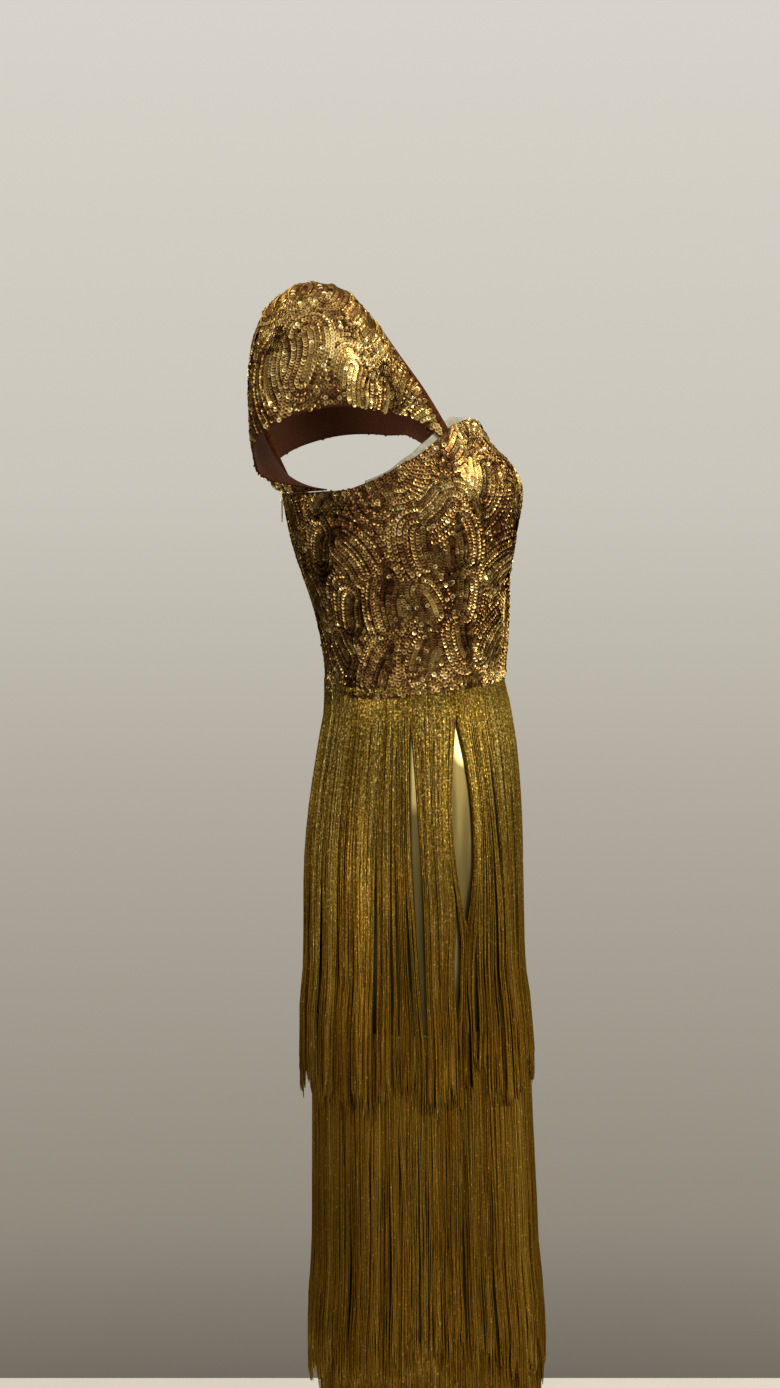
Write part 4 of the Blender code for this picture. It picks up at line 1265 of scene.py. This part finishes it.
def neckline_tapes(look):
    """The pale tape inside the bodice's edge beside each arm, by the panel that it is sewn to."""
    made = {}
    for side, word in SIDES:
        edges = [Edge(seam, side, seam_gap) for seam in (princess_seam, side_seam)][::side]

        def tape(u, v, edges=edges):
            angle, z = panel_place(bodice_surface, bodice_hem_z, top_edge_z, edges, u, 1 + 0 * u)
            below = TAPE_BELOW_EDGE * np.maximum(0.0, 1 - 2 * v)
            z = z - below + tape_rise(angle) * np.maximum(0.0, 2 * v - 1)
            normals = normals_of(bodice_surface, angle, z, *BODICE_STEP)
            return bodice_surface(angle, z) - TAPE_INSIDE * normals

        piece, _, _ = shell(f"neckline_tape_{word}_clear", tape, 64, 6, TAPE_WALL)
        made[f"bodice_side_front_{word}"] = finished(piece, look, f"neckline_tape_{word}")
    return made


def skirt(foil):
    """The foil skirt's panels. The front one carries the fringe."""
    for panel in skirt_panels():

        def place(u, v, edges=panel.edges):
            height = 1 - (1 - v) ** 1.35
            return skirt_surface(*panel_place(skirt_surface, skirt_hem_z, skirt_top_z, edges, u, height))

        piece, flat, area = shell(f"{panel.node}_foil", place, panel.columns, 72, SKIRT_WALL)
        finished(piece, foil, panel.node)


def parted(root, angle, z):
    """Where strands lie, leaning with the partings and pushed aside. Each stays on its root's side."""
    for parting in PARTINGS:
        along = np.clip((parting.top - z) / (parting.top - parting.bottom), 0, 1)
        push = parting.half_angle * np.sin(math.pi * along) ** 0.8
        side = np.sign(root - parting.angle + 1e-9)
        near = np.exp(-(((root - parting.angle) / parting.reach) ** 2))
        leaning = angle + parting.drift * along * near
        away = side * (leaning - parting.angle - parting.drift * along)
        angle = leaning + side * near * ((away + np.hypot(away, 2 * push)) / 2 - away)
    return angle


def back_gap(z):
    """The strands' distance to the centre back where they start, as an angle."""
    return math.degrees(FRINGE_BACK_GAP / float(skirt_sizes["back"](z)))


def closed_behind(angle, down):
    """Strands swing in below the opening at the centre back until they meet."""
    share = np.exp(-(180 - np.abs(angle)) / BACK_REACH) * rise(down, *BACK_CLOSES)
    return angle + np.sign(angle) * back_gap(-0.3) * share


def tier_top(tier, angle):
    return bodice_hem_z(angle) + HEADER_ABOVE_HEM if tier.top_z is None else tier.top_z + 0 * angle


def hanging_sizes(tier):
    """The skirt's sizes that a tier hangs clear of: the largest between its top and each height."""
    z = np.linspace(float(tier_top(tier, np.array(0.0))) + 0.02, -1.25, 400)
    largest = [np.maximum.accumulate(skirt_sizes[column](z)) for column in SIZES]
    return lambda at: [np.interp(-at, -z, sizes) for sizes in largest]


def header(tier, look):
    """The narrow woven tape of a tier, open at the centre back."""
    sizes = hanging_sizes(tier)
    span = 180 - back_gap(-0.2)

    def place(u, v):
        angle = span * (2 * u - 1)
        z = tier_top(tier, angle) - HEADER_HEIGHT * (1 - v)
        points = section_points(*sizes(z), angle, z)
        return points + unit(points * (1, 1, 0)) * (HEADER_STANDOFF + HEADER_WALL)

    piece, _, _ = shell(f"{tier.name}_tape", place, 160, 3, HEADER_WALL)
    return finished(piece, look)


def fringe(tier, material):
    """A tier's strands: thin three-sided yarns that gather in locks as they hang, with ragged ends."""
    chance = np.random.default_rng(tier.seed)
    count = tier.strands
    span = 360 - 2 * back_gap(-0.2)
    root = -span / 2 + span * (np.arange(count) + chance.uniform(0.2, 0.8, count)) / count
    layer = chance.random(count)
    radius = 0.5 * sum(float(skirt_sizes[column](FRINGE_MIDDLE_Z)) for column in ("side", "front"))
    metres_per_degree = 2 * math.pi * radius / 360
    clumps = int(span * metres_per_degree / CLUMP_SPACING)
    clump_angle = np.sort(-span / 2 + span * chance.random(clumps))
    nearest = np.abs(root[:, None] - clump_angle[None]).argmin(axis=1)
    pull = CLUMP_PULL * chance.uniform(*CLUMP_PULL_SHARES, count)
    clump_wander = chance.normal(0, CLUMP_WANDER, clumps)[nearest] / metres_per_degree
    wander = chance.normal(0, STRAND_WANDER, count) / metres_per_degree
    ragged = chance.normal(0, RAGGED_CLUMP, clumps)[nearest] + chance.normal(0, RAGGED_STRAND, count)

    # Where each strand hangs: rows are strands, columns go down from just above the root
    side_share = np.sin(np.radians(root)) ** 2
    length = tier.length - tier.rise * side_share + np.clip(ragged, *RAGGED_LIMITS) - TAPE_HIDES
    share = np.linspace(0, 1, tier.steps) ** LEVEL_POWER
    share = np.concatenate(((ROOT_LEVEL,), share[:-1], (KNOT_LEVEL, 1.0)))
    top = tier_top(tier, root) - HEADER_HEIGHT * ROOT_IN_TAPE
    z = top[:, None] - length[:, None] * share[None]
    down = np.clip(share, 0, 1)[None]
    gather = rise(down, *GATHERS)
    angle = root[:, None] + (clump_angle[nearest] - root)[:, None] * pull[:, None] * gather
    angle = angle + (clump_wander[:, None] * gather + wander[:, None] * down)
    wobble_phase = chance.uniform(0, 2 * math.pi, (count, 1))
    depth, turns = SWAY_ROUND
    angle = angle + depth / metres_per_degree * np.sin(down * turns + wobble_phase) * down
    if tier.top_z is None:
        angle = parted(root[:, None], angle, z)
    angle = closed_behind(angle, down)
    sizes = hanging_sizes(tier)(z)
    here = section_points(*sizes, angle, z)
    around = unit(section_points(*sizes, angle + 0.4, z) - section_points(*sizes, angle - 0.4, z))
    out = np.stack((around[..., 1], -around[..., 0], 0 * z), axis=-1)

    # How far out: close at the root, then in layers, and over the next tier's tape
    below = [other.top_z for other in TIERS if other.top_z is not None and other.top_z < top.min()]
    over = smooth_step((max(below) + NEXT_TIER_RAMP - z) / NEXT_TIER_RAMP) if below else 0 * z
    lift = HEADER_STANDOFF + HEADER_WALL + ROOT_CLEAR + layer[:, None] * ROOT_LAYERS
    free = STRAND_STANDOFF + STRAND_LAYERS * layer[:, None] + NEXT_TIER_STANDOFF * over
    settled = rise(down, *SETTLES)
    outward = lift * (1 - settled) + free * settled
    depth, turns = SWAY_OUT
    outward = outward + depth * np.sin(down * turns + wobble_phase * 2) * down
    middle = here + out * outward[..., None]

    # Three corners at each level, a knot near the end, and a tint for each strand, with painted shade on
    # the inner layers and lower down and a painted glint at the end
    knot = 1 + KNOT_SWELL * rise(down, *KNOT_STARTS) - KNOT_TAPER * rise(down, *KNOT_ENDS)
    width = STRAND_WIDTH * chance.uniform(*STRAND_WIDTH_SHARES, (count, 1)) * knot
    half = around * (width / 2)[..., None]
    depth = (width * STRAND_DEPTH)[..., None]
    points = np.stack((middle - half, middle + half, middle + out * depth), axis=2)
    corner = np.arange(len(share) - 1)[:, None] * 3
    a, b = corner + (0, 1, 2), corner + (1, 2, 0)
    faces = np.stack((a, a + 3, b + 3, b), axis=-1).reshape(-1, 4)
    tint = tier.tint + chance.normal(0, CLUMP_TINT_SPREAD, clumps)[nearest]
    tint = tint + chance.normal(0, STRAND_TINT_SPREAD, count)
    # Painted shade: inner layers darker, and every strand darker lower down
    tint = (tint + LAYER_PAINTED_SHADE * (layer - 0.5))[:, None] - tier.fade * rise(down, *LOWER_PAINTED_SHADE_SPAN)
    # Painted glint at the strand's end
    tint = np.clip(tint + END_PAINTED_GLINT * rise(down, *END_SHINES), 0, 1)
    tint = np.repeat(tint[..., None], 3, axis=2)
    piece = mesh_from(tier.name + "_strands", points, repeated(faces, len(share) * 3, count), tint)
    return finished(piece, material, tier.name)


def zip_middle_y(z):
    """The middle of the wall that the zip joins, as in the CAD."""
    bodice_y = bodice_surface(180 + 0 * z, z)[..., 1] - BODICE_HALF_WALL
    skirt_y = sized_points(skirt_sizes, 180 + 0 * z, z)[..., 1] - SKIRT_HALF_WALL
    start, end = ZIP_CROSSES_IN
    return bodice_y + (skirt_y - bodice_y) * smooth_step((start - z) / (start - end))


def zip_teeth(material):
    """Two meshing rows of small teeth down the centre back, each a rounded six-sided bar."""
    below, above = ZIP_ENDS_CLEAR
    z = np.arange(ZIP_END_Z + below, ZIP_TOP_Z - above, ZIP_TOOTH_STEP / 2)
    side = np.where(np.arange(len(z)) % 2 == 0, -1.0, 1.0)
    centres = np.stack((side * ZIP_TOOTH_ASIDE, zip_middle_y(z), z), axis=1)
    profile = np.array([(-1, -0.7), (0, -1), (1, -0.7), (1, 0.7), (0, 1), (-1, 0.7)])
    half = np.array(ZIP_TOOTH) / 2
    ring = np.stack((0 * profile[:, 0], profile[:, 0] * half[1], profile[:, 1] * half[2]), axis=1)
    ends = ((-1.0, 0.7), (-0.7, 1.0), (1.0, 0.8))
    tooth = np.concatenate([ring * (1, grow, grow) + (reach * half[0], 0, 0) for reach, grow in ends])
    faces = []
    for band in (0, 6):
        for k in range(6):
            a, b = band + k, band + (k + 1) % 6
            faces.append((a, b, b + 6, a + 6))
    faces += [(5, 4, 3, 2), (5, 2, 1, 0), (12, 13, 14, 15), (12, 15, 16, 17)]
    piece = mesh_from("zip_teeth", centres[:, None] + tooth[None], repeated(faces, len(tooth), len(z)))
    return finished(piece, material, "zip_chain")


def camera():
    """The camera where the photo was taken from: level with the waist, looking a little down."""
    pitch = math.atan((PHOTO_HEIGHT_PX / 2 - HORIZON_PX) / FOCAL_PX)
    data = bpy.data.cameras.new("photo_camera")
    data.sensor_width = SENSOR_MM
    data.lens = FOCAL_PX / PHOTO_HEIGHT_PX * SENSOR_MM
    data.clip_start = 0.05
    data.clip_end = 50
    made = linked(bpy.data.objects.new("photo_camera", data))
    made.location = EYE
    look = Vector((math.cos(pitch), 0, -math.sin(pitch)))
    made.rotation_euler = look.to_track_quat("-Z", "Y").to_euler()
    bpy.context.scene.camera = made


def studio():
    """A pale floor, soft lights and a pale surround that is darker lower down."""
    bpy.ops.mesh.primitive_plane_add(size=FLOOR_SIZE, location=(0, 0, FLOOR_Z))
    floor = bpy.context.object
    floor.name = "floor"
    look, graph = new_material("pale_floor", 0.0, 0.75)
    graph.put(graph.shader, {"Base Color": graph.ramp(graph.noise(6, 4), FLOOR)})
    floor.data.materials.append(look)
    for light in LIGHTS:
        data = bpy.data.lights.new(light.name, "AREA")
        data.size = light.size
        data.energy = light.power
        data.color = light.colour
        lamp = linked(bpy.data.objects.new(light.name, data))
        lamp.location = light.place
        lamp.rotation_euler = (Vector(light.aim) - Vector(light.place)).to_track_quat("-Z", "Y").to_euler()
    world = bpy.data.worlds.new("studio")
    bpy.context.scene.world = world
    world.use_nodes = True
    graph = Graph(world.node_tree)
    graph.nodes.clear()
    height = graph.height(-1, 1, "Generated")
    shaders = {"Fac": graph.add("LightPath", "Is Camera Ray")}
    for k, stops in enumerate((SURROUND, WALL), start=1):
        shaders[k] = graph.add("Background", "Background", {"Color": graph.ramp(height, stops)})
    seen = graph.add("MixShader", "Shader", shaders)
    graph.put(graph.nodes.new("ShaderNodeOutputWorld"), {"Surface": seen})
    bpy.context.scene.view_settings.view_transform = "Standard"


def main():
    camera()
    studio()
    ground = finish_material(BROWN_MESH)
    sequins = sequin_material()
    sleeves(ground, sequins, finish_material(SATIN_EDGE))
    bodice(ground, sequins, neckline_tapes(finish_material(CLEAR_TAPE)))
    yarn, tape = fringe_material(), finish_material(HEADER_TAPE)
    tiers = []
    for tier in TIERS:
        tiers += [fringe(tier, yarn), header(tier, tape)]
    skirt(foil_material())
    metal = finish_material(ZIP_METAL)
    zip_teeth(metal)
    for node in ("zip_slider", "zip_tab"):
        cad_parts[node].data.materials.clear()
        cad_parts[node].data.materials.append(metal)


main()
